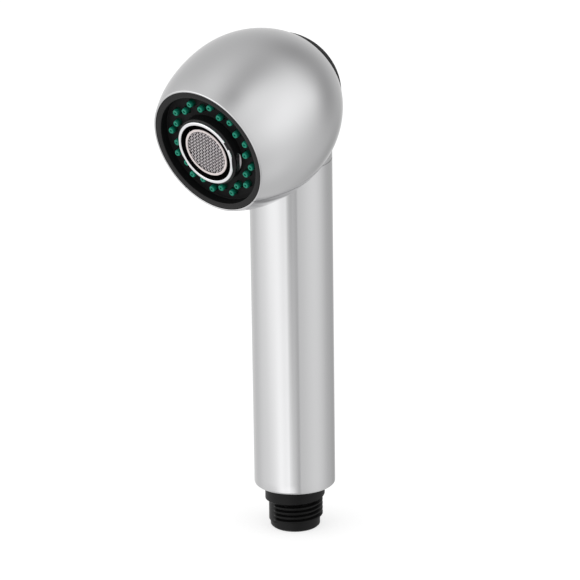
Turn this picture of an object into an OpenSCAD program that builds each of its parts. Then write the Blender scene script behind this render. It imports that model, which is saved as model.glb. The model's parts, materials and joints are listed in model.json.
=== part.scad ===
// Two-mode hand sprayer: a ball head on a straight handle with a G1/2 hose thread.
// Millimetres. +Z runs up the handle, the spray face looks towards -Y.
// The origin is on the handle's axis, in the end face of the inlet thread.

/* [Head shell] */
// Largest radius of the ball
head_r = 30.6; // [30:0.1:31.5]
// Depth of the ball's widest section behind the face
head_widest = 25.9; // [25:0.1:27]
// Radius of the outline's arc in front of the widest section
brow_r = 59; // [50:1:70]
// Turn of that arc, in degrees
brow_turn = 15.8; // [12:0.1:18]
// Radius of the outline's arc that runs on to the rim
cheek_r = 39; // [37:0.5:45]
// Radius of the outline's arc behind the widest section
back_r = 40.6; // [40:0.1:42]
// Turn of that arc, in degrees, up to the round back pole
back_turn = 49; // [47:0.5:52]
// Wall of the head and handle shells
shell_wall = 2.2; // [1.6:0.1:2.6]
// Depth of the silver rim behind the face
rim_set = 0.5; // [0.3:0.05:0.8]
// Tilt of the face below straight ahead, in degrees
face_tilt = 18.5; // [17:0.5:20]
// How far the face's centre is in front of the handle's axis
face_forward = 45.5; // [44:0.5:48]
// Height of the face's centre above the inlet end
face_height = 154.6; // [150:0.2:170]
// Height of the seam between the shells, on the handle's axis
seam_height = 142.7; // [141:0.1:145]
// Slope of the seam, rising to the back, in degrees
seam_slope = 6.7; // [5:0.1:8]

/* [Handle] */
// Outside radius of the handle
handle_r = 15.3; // [15:0.1:16]
// Height of the handle's bottom edge above the inlet end
handle_bottom = 17.2; // [16.6:0.1:19]
// Height of the handle's rounded top, inside the back of the ball
handle_top = 154.4; // [153.6:0.1:155]
// Rounding of that top
top_round = 6; // [4:0.5:8]
// Wall of the handle at its bottom edge
handle_lip_wall = 2; // [1.5:0.1:2.2]
// Rounding of the handle's bottom edge
lip_round = 0.9; // [0.4:0.1:1.2]
// Depth of the seat for the inlet flange, inside the bottom edge
flange_seat = 3.3; // [3:0.1:5]
// Height of the shoulder above that seat
shoulder_h = 3; // [2:0.1:5]

/* [Face plate] */
// Outside radius of the black face plate
face_r = 23.85; // [23.7:0.05:24]
// Width of its flat outer ring
ring_w = 2.45; // [2:0.05:2.8]
// Depth of the recessed floor
floor_depth = 4; // [3.4:0.1:4.4]
// Thickness of the floor
floor_t = 1.4; // [1:0.1:1.8]
// Depth of the plate's skirt
skirt_depth = 9; // [8.6:0.1:9.6]
// Wall of the skirt
skirt_wall = 1.85; // [1.4:0.05:2]
// Radius of the central boss
boss_r = 13.05; // [12.8:0.05:13.4]
// Depth of the boss's front edge behind the face
boss_set = 0.1; // [0:0.05:0.6]
// Wall of the boss, outside the aerator's thread
boss_wall = 1.05; // [0.8:0.05:1.3]

/* [Nozzles] */
// Nozzles in each of the two rings
nozzles_per_ring = 12; // [10:1:12]
// Radius of the inner ring of nozzles
nozzle_ring_in = 16.1; // [15.9:0.05:16.4]
// Radius of the outer ring of nozzles
nozzle_ring_out = 17.95; // [17.8:0.05:18.2]
// Depth of the nozzle tips behind the face
nozzle_tip_depth = 1.9; // [1.4:0.1:2.6]
// Radius of a nozzle at its tip
nozzle_tip_r = 1; // [0.8:0.05:1.1]
// Radius of a nozzle at its foot
nozzle_foot_r = 1.4; // [1.2:0.05:1.5]
// Radius of the jet hole
jet_r = 0.4; // [0.25:0.05:0.5]
// Thickness of the silicone mat
mat_t = 1.4; // [1:0.1:2]

/* [Aerator] */
// Radius of the chrome flange
aerator_flange_r = 12.35; // [12.2:0.05:12.6]
// How far the chrome flange stands in front of the face
aerator_proud = 0.8; // [0.4:0.1:1.4]
// Radius of the opening in the chrome flange
aerator_open_r = 11.15; // [11:0.05:11.3]
// Length of the threaded part behind the boss's front edge
aerator_len = 7.2; // [6.4:0.1:8]
// Width of a wrench notch
notch_w = 5; // [3:0.5:7]
// Depth of a wrench notch
notch_d = 0.5; // [0.3:0.1:0.8]
// Angle of the wrench notches above the left-right line, in degrees
notch_angle = 20; // [0:5:90]
// Outside radius of the pale insert
insert_r = 9.3; // [9:0.05:9.6]
// Width of the insert's front lip
insert_lip = 0.65; // [0.5:0.05:0.9]
// Depth of the insert's lip behind the chrome flange's front
insert_set = 0.4; // [0.2:0.1:1]
// Spacing of the screen's wires
screen_pitch = 0.9; // [0.85:0.05:1.2]
// Width of the screen's wires
screen_wire = 0.34; // [0.25:0.01:0.4]
// Thickness of the screen
screen_t = 0.5; // [0.3:0.1:0.8]

/* [Inlet] */
// Major radius of the G1/2 thread
thread_r = 10.4775; // [10.3:0.0025:10.6]
// Pitch of the G1/2 thread
thread_pitch = 1.814; // [1.7:0.002:1.9]
// Depth of the thread
thread_depth = 1.08; // [0.9:0.01:1.16]
// Ridges on the thread
thread_ridges = 4; // [3:1:4]
// Height of the first ridge's middle above the inlet end
thread_start = 3.85; // [3:0.05:4]
// Chamfer of the inlet end
inlet_chamfer = 0.6; // [0.3:0.1:1]
// Radius of the smooth collar above the thread
collar_r = 11.3; // [11.1:0.05:11.6]
// Height of the collar's chamfered edge above the inlet end
collar_start = 10.5; // [10.4:0.1:11]
// Height of that chamfer
collar_chamfer = 1.4; // [1:0.1:2]
// Radius of the bore at the inlet
inlet_bore_r = 7.6; // [7.4:0.05:7.8]
// Depth of the wide inlet bore
inlet_bore_depth = 21.5; // [20.5:0.1:24]
// Outside radius of the tube in the handle
tube_r = 9.6; // [9.5:0.05:9.9]
// Bore radius of the tube in the handle
tube_bore_r = 6.8; // [6:0.1:7]
// Depth of the strainer above the inlet end
strainer_set = 2.4; // [1.5:0.1:3]
// Thickness of the strainer
strainer_t = 0.8; // [0.5:0.1:1.2]
// Spacing of the strainer's holes
strainer_pitch = 1.8; // [1.6:0.1:2.4]
// Width of the strainer's holes
strainer_hole = 1.2; // [0.8:0.1:1.4]

/* [Check valve] */
// Length of the valve's body
valve_len = 15; // [13.5:0.1:16]
// Bore radius of the valve's body
valve_bore_r = 5.9; // [5.6:0.1:6.1]
// Radius of the valve's seat
valve_seat_r = 4.2; // [3.8:0.1:4.5]
// Lift of the poppet, until its shoulder meets the guide
valve_lift = 2.4; // [1.5:0.1:2.8]
// Radius of the poppet's head
poppet_r = 5; // [4.7:0.1:5.2]
// Radius of the poppet's stem
stem_r = 1; // [0.8:0.05:1.2]
// Radius of the spring's coil, to the middle of its wire
spring_r = 2.6; // [2.2:0.1:3]
// Radius of the spring's wire
spring_wire_r = 0.3; // [0.2:0.05:0.35]
// Turns of the spring
spring_turns = 5; // [4:1:6]

/* [Diverter] */
// Depth of the spool's axis behind the face
spool_depth = 38; // [37.5:0.5:39]
// Bore radius of the spool's barrel
barrel_bore_r = 5; // [4.8:0.05:5.3]
// Wall of the barrel
barrel_wall = 2.6; // [2.2:0.1:2.8]
// Half the length of the spool
spool_half = 10.5; // [10.2:0.1:11]
// Length of each of the spool's sealing lands
land_len = 4; // [3.4:0.1:4.2]
// Radius of the spool's waist, which the fork straddles
waist_r = 2; // [1.8:0.1:2.1]
// Radius of the housing's drum
drum_r = 13; // [12.5:0.1:14]
// Radius of the housing's flange
flange_r = 22.2; // [22:0.05:22.3]
// Thickness of the housing's flange
flange_t = 3.4; // [3:0.1:4]
// Radius of the water passage to the aerator
centre_passage_r = 5; // [4:0.1:6]
// Radius of the passage to the spray ring
spray_passage_r = 2.2; // [1.8:0.1:2.4]
// Bore radius of the inlet socket
socket_bore_r = 9; // [8.8:0.05:9.2]
// Wall of the inlet socket
socket_wall = 2.4; // [2:0.1:2.8]
// Length of the inlet socket
socket_len = 20; // [18:0.5:22]

/* [Rocker] */
// Radius of the black button
button_r = 18.6; // [18.2:0.1:18.8]
// Tilt of the button's middle above the head's axis, in degrees
button_tilt = 5.5; // [0:0.5:6]
// Gap between the button and the head shell
button_gap = 0.4; // [0.35:0.05:0.6]
// Thickness of the button's dome and skirt
button_wall = 1.8; // [1.4:0.1:2]
// Depth of the rocker's pivot below the button's pole
pivot_cover = 10.76; // [10.2:0.02:11.4]
// Distance of each thumb dish from the button's middle
dish_offset = 9.5; // [8:0.5:11]
// Depth of the thumb dishes
dish_cut = 0.9; // [0.4:0.1:1.1]
// Radius of the thumb dishes' hollow
dish_r = 30; // [20:1:40]
// Radius of the rocker's pin
pin_r = 1.2; // [1:0.05:1.4]
// Radius of the fork's round noses
nose_r = 1.5; // [1.3:0.05:1.6]
// Width across the fork's two prongs
fork_w = 7.9; // [7.4:0.1:8.2]
// Travel of the rocker to each side, in degrees
rocker_travel = 6; // [4:0.5:6.5]

/* [Fasteners] */
// Radius of the housing's screw circle
housing_screw_ring = 19.6; // [19.4:0.05:19.7]
// Shank radius of the screws
screw_r = 1.2; // [1:0.05:1.3]
// Head radius of the screws
screw_head_r = 2.1; // [1.9:0.05:2.2]
// Height of the screws' heads
screw_head_h = 1.3; // [1:0.1:1.5]

/* [Fits] */
// Clearance of plain fits
slip = 0.1; // [0.06:0.01:0.14]
// Radial clearance of pins and stems that turn or slide
run = 0.05; // [0.03:0.01:0.08]
// Radial clearance of the screws in the holes that they cut
screw_fit = 0.02; // [0.01:0.01:0.05]
// Width of the seam between the shells
seam_gap = 0.12; // [0.05:0.01:0.2]

/* [Hidden] */
$fn = 96;

satin = [0.74, 0.75, 0.76];
black = [0.05, 0.05, 0.055];
dark_grey = [0.16, 0.16, 0.17];
green = [0.06, 0.52, 0.38];
chrome = [0.86, 0.87, 0.88];
pale = [0.88, 0.84, 0.83];
steel = [0.62, 0.63, 0.65];
white = [0.9, 0.9, 0.88];
rubber = [0.1, 0.1, 0.1];

far = 200;                                   // longer than any piece
sliver = 0.01;                               // overlap that joins two solids into one
touch = 0.02;                                // gap between faces that lie on each other
over = 1;                                    // how far a cut runs past the face that it opens

// Arcs of the ball's outline: radius and depth of each centre, then the arc's radius
brow_arc = [head_r - brow_r, head_widest, brow_r];
cheek_arc = [
    brow_arc[0] + (brow_r - cheek_r) * cos(brow_turn),
    head_widest - (brow_r - cheek_r) * sin(brow_turn),
    cheek_r
];
back_arc = [head_r - back_r, head_widest, back_r];
pole_edge_r = back_arc[0] + back_r * cos(back_turn);
pole_arc = [
    0,
    head_widest + back_r * sin(back_turn) - pole_edge_r * tan(back_turn),
    pole_edge_r / cos(back_turn)
];
pole_depth = pole_arc[1] + pole_arc[2];
pivot_depth = pole_depth - pivot_cover;

// Cross recess of the screws
driver_half = 1.3;
driver_t = 0.6;
driver_d = 0.7;

// Depths behind the face
floor_back = floor_depth + floor_t;
mat_back = floor_back + mat_t;
chamber_h = 2.6;
plate_t = 1.6;
plate_front = mat_back + chamber_h;
plate_back = plate_front + plate_t;
flange_back = plate_back + flange_t;
ledge_h = 1.6;
ledge_in_r = flange_r + 0.4;
opening_r = face_r + slip;
post_len = 9;
post_r = 2.9;
rib_half = 1;
housing_screw_angle = -90;
aerator_back = boss_set + aerator_len;
insert_front = insert_set - aerator_proud;
cartridge_base = 2.4;
web_t = 1.2;
big_hole_r = 1.6;
screen_set = 0.3;
screen_turn = notch_angle + 25;
washer_lap = 2;
washer_seat = 0.6;
boss_bore_r = boss_r - boss_wall;

// Spray chamber between the nozzle mat and the distributor
mat_r = face_r - skirt_wall - slip;
mat_in_r = boss_r + slip;
chamber_out_r = nozzle_ring_out + nozzle_foot_r + 0.8;
chamber_in_r = nozzle_ring_in - nozzle_foot_r - 0.4;
port_r = 1.6;
port_angle = 90;
plate_screw_cover = 0.6;
port_ring = nozzle_ring_in + 0.6;
plate_screw_angle = 120;

// O-rings: radius of their section, and how deep their grooves are
ring_section_r = 0.7;
groove_depth = 2 * ring_section_r;
groove_w = 2 * ring_section_r + 0.2;

// Diverter, along the spool's own axis, which points down across the head's axis
barrel_r = barrel_bore_r + barrel_wall;
spool_travel = (pivot_depth - spool_depth) * sin(rocker_travel);
spool_r = barrel_bore_r - run;
cap_plug_len = 2.4;
cap_t = 1.6;
end_clearance = 0.6;
barrel_top = spool_half + spool_travel + end_clearance + cap_plug_len;
socket_cross = (face_forward - spool_depth * cos(face_tilt)) / sin(face_tilt);
socket_cross_z = face_height + spool_depth * sin(face_tilt) - socket_cross * cos(face_tilt);
barrel_len_down = socket_cross - 6;
socket_top = socket_cross_z + 9;
socket_bottom = socket_top - socket_len;
socket_floor = socket_top - 3.6;
socket_r = socket_bore_r + socket_wall;
inlet_port_r = 5.4;
duct_half = 4;
duct_top = 14.5;
gallery_r = 1.6;
gallery_y = 11;
gallery_top = -spool_half - 0.2;
gallery_bottom = barrel_len_down - 12;
centre_passage_back = spool_depth - 12;
spray_passage_y = -drum_r + 3.2;
channel_d = 1.6;
channel_w = 4;
housing_screw_seat = plate_back + screw_head_h + 0.2;
housing_screw_len = flange_t + 3;

// Waterway tube, along the handle
thread_root_r = thread_r - thread_depth;
crest_w = 0.25 * thread_pitch;
flank_w = 0.3 * thread_pitch;
flange_set = 0.6;
flange_out_r = handle_r - handle_lip_wall - slip;
flange_bottom = handle_bottom + flange_set;
flange_top = handle_bottom + flange_seat;
shoulder_r = tube_r + 1.6;
tube_end_r = socket_bore_r - slip;
tube_end_start = socket_bottom - 0.4;
tube_top = socket_floor - 0.3;
tube_ring_set = 3;
tube_ring_gap = 3.4;
tube_ring_heights = [tube_top - tube_ring_set, tube_top - tube_ring_set - tube_ring_gap];
valve_bottom = strainer_set + strainer_t + slip;
valve_top = valve_bottom + valve_len;
valve_r = inlet_bore_r - slip;
valve_mid_r = (valve_r + valve_bore_r) / 2;
guide_t = 2;
seat_t = 2;
seat_z = valve_bottom + 1.6;
poppet_z = seat_z + seat_t + touch;
poppet_h = 1.5;
nose_h = 1.2;
valve_ring_z = valve_top - 4;
valve_web_t = 1.2;
valve_web_set = 0.5;
stop_r = spring_r - spring_wire_r - 0.4;
stem_top = valve_top + 0.6;
spring_low = poppet_z + poppet_h + spring_wire_r + touch;
spring_high = valve_top - guide_t - spring_wire_r - touch;

// Rocker
button_skirt_z = pivot_depth - 2 - pole_arc[1];
dome_gap = 0.85;
opening_start = button_skirt_z - 4;
fork_slot_w = 2 * waist_r + 0.3;
prong_t = 2;
lug_t = 2;
lug_half = 2.6;
ear_gap = 0.4;
ear_t = 1.4;
ear_half = 3;
ear_back = pivot_depth + pin_r + over;
dome_room = pow(pole_arc[2] - button_wall, 2) - pow(ear_back - pole_arc[1], 2) - pow(ear_half, 2);
ear_out = sqrt(dome_room) - dome_gap;
ear_in = ear_out - ear_t;
lug_x = ear_in - ear_gap - lug_t / 2;
block_half_y = 4.6;
window_x = fork_w / 2 + 0.5;
bracket_screw_x = window_x + screw_head_r + 3;
block_half_x = bracket_screw_x + screw_head_r + over;
window_y = nose_r + spool_travel + 1.2;
stem_out_r = 2.6;
collar_start_z = nose_r + 0.2;
collar_t = 1.4;
block_back = spool_depth + barrel_r + 0.4;
bracket_t = 1.6;
bracket_back = block_back + bracket_t;
screw_len = 6.4;

// Places children in the head's frame: +Z is the depth behind the face, +Y points down across the face.
module head_frame() {
    translate([0, -face_forward, face_height]) rotate([face_tilt - 90, 0, 0]) children();
}

// Places children in the spool's frame: +Z is the spool's axis, pointing down, and -Y is the back.
module spool_frame() {
    head_frame() translate([0, 0, spool_depth]) rotate([-90, 0, 0]) children();
}

// Places children at the middle of the ball's back pole, with +Z out through the button.
module button_frame() {
    head_frame() translate([0, 0, pole_arc[1]]) rotate([button_tilt, 0, 0]) children();
}

module tube(r_out, r_in, z0, z1) {
    translate([0, 0, z0]) difference() {
        cylinder(r = r_out, h = z1 - z0);
        translate([0, 0, -over]) cylinder(r = r_in, h = z1 - z0 + 2 * over);
    }
}

module disc(r, z0, z1) {
    translate([0, 0, z0]) cylinder(r = r, h = z1 - z0);
}

module slab(x, y, z0, z1) {
    translate([-x, -y, z0]) cube([2 * x, 2 * y, z1 - z0]);
}

module o_ring(r_mid, z) {
    translate([0, 0, z]) rotate_extrude() translate([r_mid, 0]) circle(r = ring_section_r, $fn = 32);
}

module on_circle(r, count, start = 0) {
    for (i = [0:count - 1]) rotate([0, 0, start + i * 360 / count]) translate([r, 0, 0]) children();
}

module screw(length) {
    difference() {
        union() {
            disc(screw_head_r, -screw_head_h, 0);
            disc(screw_r, -sliver, length);
        }
        for (a = [0, 90]) rotate([0, 0, a])
            slab(driver_half, driver_t / 2, -screw_head_h - over, driver_d - screw_head_h);
    }
}

// Points on an arc from turn a to turn b, behind the widest section where the turns are positive
function arc_points(arc, inset, a, b, steps) = [
    for (i = [0:steps])
        let (t = a + (b - a) * i / steps)
        [arc[0] + (arc[2] - inset) * cos(t), arc[1] + (arc[2] - inset) * sin(t)]
];

// The ball, from the given depth to its back pole, with every wall moved in by inset
module ball(depth, inset = 0) {
    outline = concat(
        [[0, -2]],
        arc_points(cheek_arc, inset, -34, -brow_turn, 6),
        arc_points(brow_arc, inset, -brow_turn + 3, 0, 4),
        arc_points(back_arc, inset, 4, back_turn, 10),
        arc_points(pole_arc, inset, back_turn + 4, 86, 8),
        [[0, pole_depth - inset]]
    );
    head_frame() rotate_extrude() intersection() {
        polygon(outline);
        translate([0, depth]) square(far);
    }
}

// The handle as a solid with rounded ends
module handle_solid(r, z0, z1, foot_round, top_round) {
    rotate_extrude() union() {
        translate([0, z0 + foot_round]) square([r, z1 - z0 - foot_round - top_round]);
        translate([0, z0]) square([r - foot_round, foot_round + sliver]);
        translate([r - foot_round, z0 + foot_round]) circle(r = foot_round, $fn = 32);
        translate([0, z1 - top_round - sliver]) square([r - top_round, top_round + sliver]);
        translate([r - top_round, z1 - top_round]) circle(r = top_round, $fn = 64);
    }
}

// Space above the seam plane, less half the seam's width
module above_seam() {
    translate([0, 0, seam_height]) rotate([seam_slope, 0, 0])
        translate([-far / 2, -far / 2, seam_gap / 2]) cube([far, far, far]);
}

module below_seam() {
    translate([0, 0, seam_height]) rotate([seam_slope, 0, 0])
        translate([-far / 2, -far / 2, -seam_gap / 2 - far]) cube([far, far, far]);
}

// Both shells as one skin: ball and handle, with the face opening and its ledge
module skin() {
    difference() {
        union() {
            ball(rim_set);
            handle_solid(handle_r, handle_bottom, handle_top, lip_round, top_round);
        }
        difference() {
            union() {
                ball(plate_front + ledge_h, shell_wall);
                handle_solid(handle_r - shell_wall, 0, handle_top - shell_wall, lip_round, top_round / 2);
            }
            tube(handle_r, shoulder_r, flange_top, flange_top + shoulder_h);
        }
        head_frame() {
            disc(opening_r, -over, skirt_depth + slip);
            disc(ledge_in_r, skirt_depth, plate_front + ledge_h + over);
        }
        disc(flange_out_r + slip, handle_bottom - over, flange_top);
    }
}

// Screw posts inside the ball, tied to its wall by ribs
module posts() {
    intersection() {
        ball(rim_set, shell_wall / 2);
        head_frame() on_circle(housing_screw_ring, 3, housing_screw_angle) {
            disc(post_r, flange_back + slip, flange_back + post_len);
            translate([0, -rib_half, flange_back + slip]) cube([far / 4, 2 * rib_half, post_len]);
        }
    }
}

module head_shell() {
    color(satin) difference() {
        intersection() {
            union() {
                skin();
                posts();
            }
            above_seam();
        }
        button_frame() disc(button_r + button_gap, opening_start, far);
        head_frame() on_circle(housing_screw_ring, 3, housing_screw_angle)
            disc(screw_r + screw_fit, flange_back, flange_back + screw_len);
    }
}

module handle_shell() {
    color(satin) intersection() {
        skin();
        below_seam();
    }
}

module nozzle_positions() {
    step = 360 / nozzles_per_ring;
    on_circle(nozzle_ring_in, nozzles_per_ring, 90) children();
    on_circle(nozzle_ring_out, nozzles_per_ring, 90 + step / 2) children();
}

module face_plate() {
    color(black) head_frame() difference() {
        union() {
            tube(face_r, face_r - ring_w, 0, floor_back);
            tube(face_r, face_r - skirt_wall, floor_depth, skirt_depth);
            tube(face_r - ring_w / 2, boss_bore_r, floor_depth, floor_back);
            tube(boss_r, boss_bore_r, boss_set, mat_back + chamber_h / 2);
        }
        nozzle_positions() disc(nozzle_foot_r + slip, floor_depth - over, floor_back + over);
    }
}

module nozzle() {
    translate([0, 0, nozzle_tip_depth])
        cylinder(r1 = nozzle_tip_r, r2 = nozzle_foot_r, h = floor_back - nozzle_tip_depth + sliver, $fn = 32);
}

module nozzle_mat() {
    color(green) head_frame() difference() {
        union() {
            tube(mat_r, mat_in_r, floor_back, mat_back);
            nozzle_positions() nozzle();
        }
        nozzle_positions() {
            disc(jet_r, 0, floor_depth + over, $fn = 24);
            translate([0, 0, floor_depth])
                cylinder(r1 = jet_r, r2 = nozzle_tip_r, h = mat_back - floor_depth + sliver, $fn = 32);
        }
    }
}

module aerator_housing() {
    color(chrome) head_frame() difference() {
        union() {
            tube(aerator_flange_r, aerator_open_r, -aerator_proud, boss_set);
            tube(boss_bore_r - slip, aerator_open_r, boss_set - sliver, aerator_back);
        }
        for (a = [0, 180]) rotate([0, 0, a - notch_angle])
            translate([aerator_flange_r - notch_d, -notch_w / 2, -aerator_proud - over])
                cube([notch_d + over, notch_w, aerator_proud + over]);
    }
}

module aerator_cartridge() {
    spoke_front = aerator_back - cartridge_base;
    color(pale) head_frame() difference() {
        union() {
            tube(insert_r, insert_r - insert_lip - slip, insert_front, aerator_back);
            for (a = [0, 60, 120]) rotate([0, 0, a])
                slab(aerator_open_r - slip, web_t / 2, spoke_front, aerator_back);
            disc(insert_r - sliver, aerator_back - cartridge_base / 2, aerator_back);
        }
        on_circle(insert_r / 2, 6, 30) disc(big_hole_r, spoke_front, aerator_back + over, $fn = 32);
        on_circle(insert_r * 0.8, 12, 15)
            disc(big_hole_r / 2, spoke_front, aerator_back + over, $fn = 32);
    }
}

module aerator_screen() {
    r = insert_r - insert_lip - 2 * slip;
    count = ceil(r / screen_pitch);
    hole = screen_pitch - screen_wire;
    color(steel) head_frame() translate([0, 0, insert_front + screen_set])
        rotate([0, 0, screen_turn]) linear_extrude(height = screen_t) difference() {
            circle(r = r);
            for (i = [-count:count], j = [-count:count])
                if (norm([i, j]) * screen_pitch < r - hole - screen_wire)
                    translate([i * screen_pitch, j * screen_pitch]) square(hole, center = true);
        }
}

module aerator_washer() {
    color(rubber) head_frame()
        tube(aerator_open_r, insert_r - washer_lap, aerator_back + touch, plate_front + washer_seat - touch);
}

module distributor() {
    color(white) head_frame() difference() {
        union() {
            tube(mat_r, chamber_out_r, mat_back, plate_back);
            tube(chamber_in_r, mat_in_r, mat_back, plate_back);
            disc(mat_r - sliver, plate_front, plate_back);
        }
        disc(aerator_open_r + slip, plate_front - over, plate_front + washer_seat);
        disc(centre_passage_r, plate_front, plate_back + over);
        on_circle(port_ring, 3, port_angle)
            disc(port_r, plate_front - over, plate_back + over, $fn = 32);
        on_circle(port_ring, 3, plate_screw_angle)
            disc(screw_r + slip, plate_front - over, plate_back + over, $fn = 32);
        tube(mat_r + over, mat_r - groove_depth, plate_back - groove_w, plate_back + over);
    }
}

module distributor_o_ring() {
    color(rubber) head_frame() o_ring(mat_r - ring_section_r, plate_back - groove_w / 2);
}

module distributor_screws() {
    color(steel) head_frame() on_circle(port_ring, 3, plate_screw_angle)
        translate([0, 0, plate_front - touch]) screw(plate_t + flange_t - plate_screw_cover);
}

// Drum, flange, barrel and inlet socket before they are bored
module housing_body() {
    head_frame() {
        disc(flange_r, plate_back + touch, flange_back);
        disc(drum_r, flange_back - sliver, spool_depth - barrel_bore_r + over);
        translate([-block_half_x, -block_half_y, spool_depth])
            cube([2 * block_half_x, 2 * block_half_y, block_back - spool_depth]);
        translate([-duct_half, -duct_top, flange_back - sliver])
            cube([2 * duct_half, 2 * duct_top - duct_half, spool_depth - flange_back]);
    }
    spool_frame() disc(barrel_r, -barrel_top, barrel_len_down);
    disc(socket_r, socket_bottom, socket_top);
}

// Ways for the water: inlet, barrel, gallery to its far end, centre jet and spray ring
module housing_passages() {
    disc(socket_bore_r, socket_bottom - over, socket_floor);
    disc(inlet_port_r, socket_floor - over, socket_top - over);
    spool_frame() {
        disc(barrel_bore_r, -barrel_top - over, barrel_len_down + over);
        translate([0, gallery_y, 0]) disc(gallery_r, gallery_top, gallery_bottom);
        for (z = [gallery_top, gallery_bottom]) translate([0, 0, z])
            rotate([-90, 0, 0]) disc(gallery_r, 0, gallery_y);
    }
    head_frame() {
        disc(centre_passage_r, plate_back - over, centre_passage_back);
        translate([0, spool_half - 1.5 * land_len, 0])
            disc(spray_passage_r, centre_passage_back - sliver, spool_depth);
        translate([0, spray_passage_y, 0]) disc(spray_passage_r, plate_back + touch + channel_d, spool_depth);
        translate([0, 0, plate_back]) difference() {
            tube(port_ring + port_r, port_ring - port_r, -over, channel_d);
            on_circle(port_ring, 3, plate_screw_angle)
                disc(screw_head_r + slip, -over, channel_d + over, $fn = 32);
        }
        translate([-channel_w / 2, -port_ring, plate_back - over])
            cube([channel_w, port_ring + spray_passage_y + channel_w, 2 * channel_d + over]);
    }
}

module housing_screw_holes() {
    on_circle(port_ring, 3, plate_screw_angle)
        disc(screw_r + screw_fit, plate_back - over, flange_back - plate_screw_cover / 2, $fn = 32);
    on_circle(housing_screw_ring, 3, housing_screw_angle) {
        disc(screw_r + slip, plate_back - over, flange_back + over, $fn = 32);
        disc(screw_head_r + slip, plate_back - over, housing_screw_seat, $fn = 32);
    }
    for (x = [-bracket_screw_x, bracket_screw_x]) translate([x, 0, 0])
        disc(screw_r + screw_fit, block_back - screw_len, block_back + over, $fn = 32);
}

module diverter_housing() {
    color(dark_grey) difference() {
        housing_body();
        housing_passages();
        head_frame() {
            housing_screw_holes();
            slab(window_x, window_y, spool_depth, block_back + over);
        }
    }
}

module housing_screws() {
    color(steel) head_frame() on_circle(housing_screw_ring, 3, housing_screw_angle)
        translate([0, 0, housing_screw_seat]) screw(housing_screw_len);
}

module diverter_spool() {
    color(white) spool_frame() difference() {
        union() {
            for (side = [-1, 1]) scale_side(side) {
                disc(spool_r, spool_half - land_len, spool_half);
                disc(stem_out_r, collar_start_z, spool_half - land_len + sliver);
                disc(spool_r - slip, collar_start_z, collar_start_z + collar_t);
            }
            disc(waist_r, -collar_start_z - sliver, collar_start_z + sliver);
        }
        for (side = [-1, 1]) scale_side(side)
            translate([0, 0, spool_half - land_len / 2])
                tube(spool_r + over, spool_r - groove_depth, -groove_w / 2, groove_w / 2);
    }
}

// Turns children over for the spool's other end
module scale_side(side) {
    rotate([side > 0 ? 0 : 180, 0, 0]) children();
}

module spool_o_rings() {
    color(rubber) spool_frame() for (side = [-1, 1])
        o_ring(spool_r - ring_section_r, side * (spool_half - land_len / 2));
}

module spool_cap() {
    color(dark_grey) spool_frame() {
        disc(barrel_bore_r - run, -barrel_top - touch - sliver, -barrel_top + cap_plug_len);
        disc(barrel_r - slip, -barrel_top - cap_t, -barrel_top - touch);
    }
}

module button_dome() {
    difference() {
        intersection() {
            ball(rim_set);
            button_frame() disc(button_r, button_skirt_z, far);
        }
        intersection() {
            ball(rim_set, button_wall);
            button_frame() disc(button_r - button_wall, button_skirt_z - 1, far);
        }
        button_frame() for (side = [-1, 1])
            rotate([side * asin(dish_offset / pole_arc[2]), 0, 0])
                translate([0, 0, pole_arc[2] + dish_r - dish_cut]) sphere(r = dish_r);
    }
}

// Fork arm and pin lugs, ending in the button's dome
module button_arms() {
    arm_start = pivot_depth - 3;
    intersection() {
        ball(rim_set, button_wall / 2);
        head_frame() {
            slab(fork_w / 2, prong_t / 2, spool_depth, pole_depth);
            slab(fork_w / 2, prong_t, arm_start, pole_depth);
            for (x = [-lug_x, lug_x]) translate([x, 0, 0]) slab(lug_t / 2, lug_half, arm_start, pole_depth);
        }
    }
}

module rocker_button() {
    color(black) difference() {
        union() {
            button_dome();
            button_arms();
            head_frame() translate([0, 0, spool_depth])
                rotate([0, 90, 0]) disc(nose_r, -fork_w / 2, fork_w / 2);
        }
        head_frame() {
            translate([0, 0, pivot_depth]) rotate([0, 90, 0]) disc(pin_r + run, -ear_out, ear_out);
            slab(fork_slot_w / 2, nose_r + over, spool_depth - nose_r - over, spool_depth + barrel_bore_r);
        }
    }
}

module rocker_bracket() {
    color(dark_grey) head_frame() difference() {
        union() {
            slab(ear_out, block_half_y, block_back + touch, bracket_back);
            for (side = [-1, 1]) translate([side * (ear_in + ear_t / 2), 0, 0])
                slab(ear_t / 2, ear_half, bracket_back - sliver, ear_back);
        }
        slab(window_x + slip, window_y - 3 * slip, block_back - over, bracket_back + over);
        translate([0, 0, pivot_depth]) rotate([0, 90, 0]) disc(pin_r + screw_fit, -far / 4, far / 4);
        for (x = [-bracket_screw_x, bracket_screw_x]) translate([x, 0, 0])
            disc(screw_r + slip, block_back - over, bracket_back + over, $fn = 32);
    }
}

module bracket_screws() {
    color(steel) head_frame() for (x = [-bracket_screw_x, bracket_screw_x])
        translate([x, 0, bracket_back + touch]) mirror([0, 0, 1]) screw(screw_len);
}

module rocker_pin() {
    color(steel) head_frame() translate([0, 0, pivot_depth])
        rotate([0, 90, 0]) disc(pin_r, -ear_out, ear_out);
}

// Profile of one thread ridge, its middle at height z
function ridge(z) = [
    [thread_root_r, z - crest_w / 2 - flank_w],
    [thread_r, z - crest_w / 2],
    [thread_r, z + crest_w / 2],
    [thread_root_r, z + crest_w / 2 + flank_w]
];

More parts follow.
